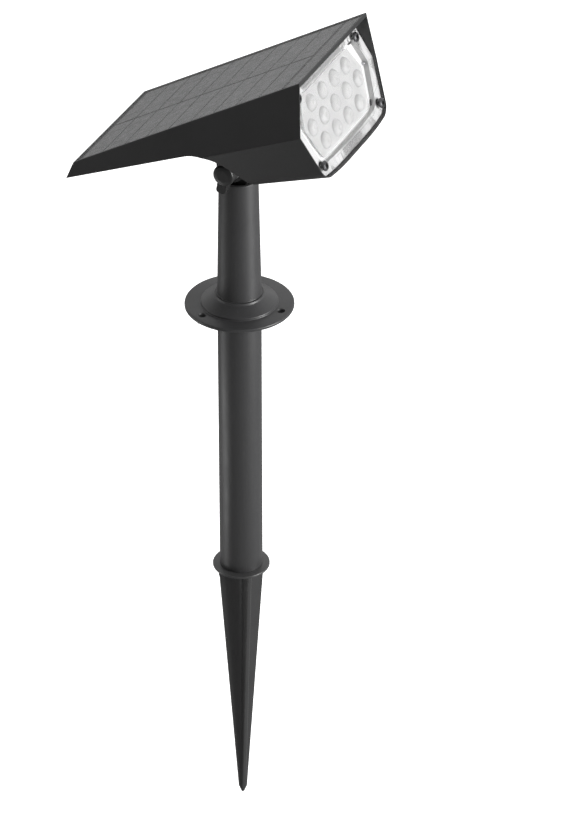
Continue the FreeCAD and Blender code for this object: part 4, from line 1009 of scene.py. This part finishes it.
# Piece, CAD node, slot and edge rounding.
INNER_PARTS = (
    ("switch", "push_switch", "component", 0.3),
    ("controller", "control_board", "pcb_green", 0.1),
    ("controller_parts", "board_parts", "component", 0.2),
    ("standoffs", "board_posts", "nylon", 0.2),
    ("cell", "battery_cell", "battery_wrap", 0.8),
    ("tabs", "battery_tabs", "steel", 0.08),
    ("cradle", "battery_cradle", "cradle", 0.4),
    ("plate_screws", "board_screws", "steel", 0.2))


def make_housing():
    """The two shells of the head and the screws that close them from below."""
    # Both shells' rounded edges get a painted highlight in a lighter plastic.
    refined("top_shell", "upper_housing", "black_plastic", 0.5, "painted_edge_highlight")
    refined("bottom_shell", "lower_housing", "black_plastic", 0.4, "painted_edge_highlight", crowned=True)
    lean = Matrix.Rotation(math.radians(180 + math.degrees(math.atan(TAIL_SLOPE))), 4, "X")
    screws = []
    for along, half, length in HOUSING_SCREWS:
        depth = 1 - TAIL_DEPTH - TAIL_SLOPE * along
        for side in (-1, 1):
            place = Matrix.Translation((side * half, -along, depth)) @ lean
            turn = side * HOUSING_SCREW_TURN
            screws.append(moved(pan_screw(*HOUSING_SCREW_HEAD, length, turn), place))
    new_piece("shell_screws", together(*screws), "steel", ["housing_screws"], HEAD)


def make_controls():
    """The rubber button in the belly, and everything behind it."""
    cap = shift(lathe(BUTTON_PROFILE, 64), y=BUTTON_ALONG)
    new_piece("button", cap, "button_rubber", ["power_button"], BELLY)
    for name, node, slot, width in INNER_PARTS:
        refined(name, node, slot, width, segments=2)
    for pair in ("panel", "battery", "led"):
        for colour in ("red", "black"):
            node = NODES["%s_lead_%s" % (pair, colour)]
            node.data.materials.clear()
            node.data.materials.append(MATERIALS["wire_" + colour])


# ---------------------------------------------------------------- camera, floor and light

CAMERA_AZIMUTH = math.radians(-66)
CAMERA_ELEVATION = math.radians(32.6)
CAMERA_DISTANCE = 2.4034
CAMERA_TARGET_RIGHT = 0.02704
CAMERA_TARGET_HEIGHT = 0.10435
FOCAL_LENGTH = 183.05
SENSOR_WIDTH = 36
CLIP_END = 50
FLOOR_HALF = 6
BACKDROP_DIRECTION = (0.80, 0.50, 0.33)
# How bright the world is, by the share of a direction that points at the backdrop.
BACKDROP = {"From Min": -0.4, "From Max": 0.7, "To Min": 0.19, "To Max": 0.93}
AIM = (0, 0, 0.2)
# Name, place, aim, size and power.
LAMPS = (
    ("key", (0.0, -2.45, 0.75), AIM, (0.8, 1.7), 98),
    ("edge", (-0.9, 2.0, 0.5), AIM, (0.4, 1.8), 7),
    ("bounce", (-0.19, 0.5, -0.16), (-0.19, 0.501, 1), (0.2, 0.6), 1.1))


def look_from(place, aim):
    """A matrix at a place whose -Z looks at the aim."""
    turn = (Vector(place) - Vector(aim)).to_track_quat("Z", "Y").to_matrix().to_4x4()
    return Matrix.Translation(place) @ turn


def add_camera():
    """A long lens that looks down at the object's side."""
    right = Vector((math.cos(CAMERA_AZIMUTH), math.sin(CAMERA_AZIMUTH), 0))
    level = math.cos(CAMERA_ELEVATION)
    back = Vector((math.sin(CAMERA_AZIMUTH) * level, -math.cos(CAMERA_AZIMUTH) * level,
                   math.sin(CAMERA_ELEVATION)))
    target = right * CAMERA_TARGET_RIGHT + Vector((0, 0, CAMERA_TARGET_HEIGHT))
    data = bpy.data.cameras.new("camera")
    data.lens = FOCAL_LENGTH
    data.sensor_width = SENSOR_WIDTH
    data.clip_end = CLIP_END
    camera = bpy.data.objects.new("camera", data)
    camera.matrix_world = look_from(target + back * CAMERA_DISTANCE, target)
    bpy.context.scene.collection.objects.link(camera)
    bpy.context.scene.camera = camera


def add_lamp(name, place, aim, size, power):
    """A large soft rectangular lamp that the camera doesn't see."""
    data = bpy.data.lights.new(name, "AREA")
    data.shape = "RECTANGLE"
    data.size, data.size_y = size
    data.energy = power
    lamp = bpy.data.objects.new(name, data)
    lamp.matrix_world = look_from(place, aim)
    lamp.visible_camera = False
    bpy.context.scene.collection.objects.link(lamp)


def add_world():
    """A white studio that is dim on the side away from the backdrop, and white to the camera."""
    world = bpy.data.worlds.new("studio")
    bpy.context.scene.world = world
    world.use_nodes = True
    tree = world.node_tree
    direction = tree.nodes.new("ShaderNodeTexCoord").outputs["Generated"]
    towards = tree.nodes.new("ShaderNodeVectorMath")
    towards.operation = "DOT_PRODUCT"
    towards.inputs[1].default_value = BACKDROP_DIRECTION
    tree.links.new(direction, towards.inputs[0])
    strength = tree.nodes.new("ShaderNodeMapRange")
    strength.interpolation_type = "SMOOTHSTEP"
    for socket, value in BACKDROP.items():
        strength.inputs[socket].default_value = value
    tree.links.new(towards.outputs["Value"], strength.inputs["Value"])
    seen = tree.nodes.new("ShaderNodeLightPath").outputs["Is Camera Ray"]
    lighter = tree.nodes.new("ShaderNodeMath")
    lighter.operation = "MAXIMUM"
    tree.links.new(strength.outputs["Result"], lighter.inputs[0])
    tree.links.new(seen, lighter.inputs[1])
    background = tree.nodes["Background"]
    background.inputs["Color"].default_value = (1, 1, 1, 1)
    tree.links.new(lighter.outputs["Value"], background.inputs["Strength"])


def add_studio():
    """A key light in front, a weak edge light behind, one low under the head, and the floor."""
    bpy.context.scene.view_settings.view_transform = "Standard"
    add_world()
    for lamp in LAMPS:
        add_lamp(*lamp)
    low = cad_box[0][2]
    mesh = bpy.data.meshes.new("floor")
    mesh.from_pydata([(x * FLOOR_HALF, y * FLOOR_HALF, low) for x, y in SQUARE], [], [(0, 1, 2, 3)])
    floor = bpy.data.objects.new("floor", mesh)
    bpy.context.scene.collection.objects.link(floor)
    mesh.materials.append(paper())


add_camera()
make_stake_and_pole()
make_hinge()
make_housing()
make_panel()
make_light()
make_controls()
add_studio()
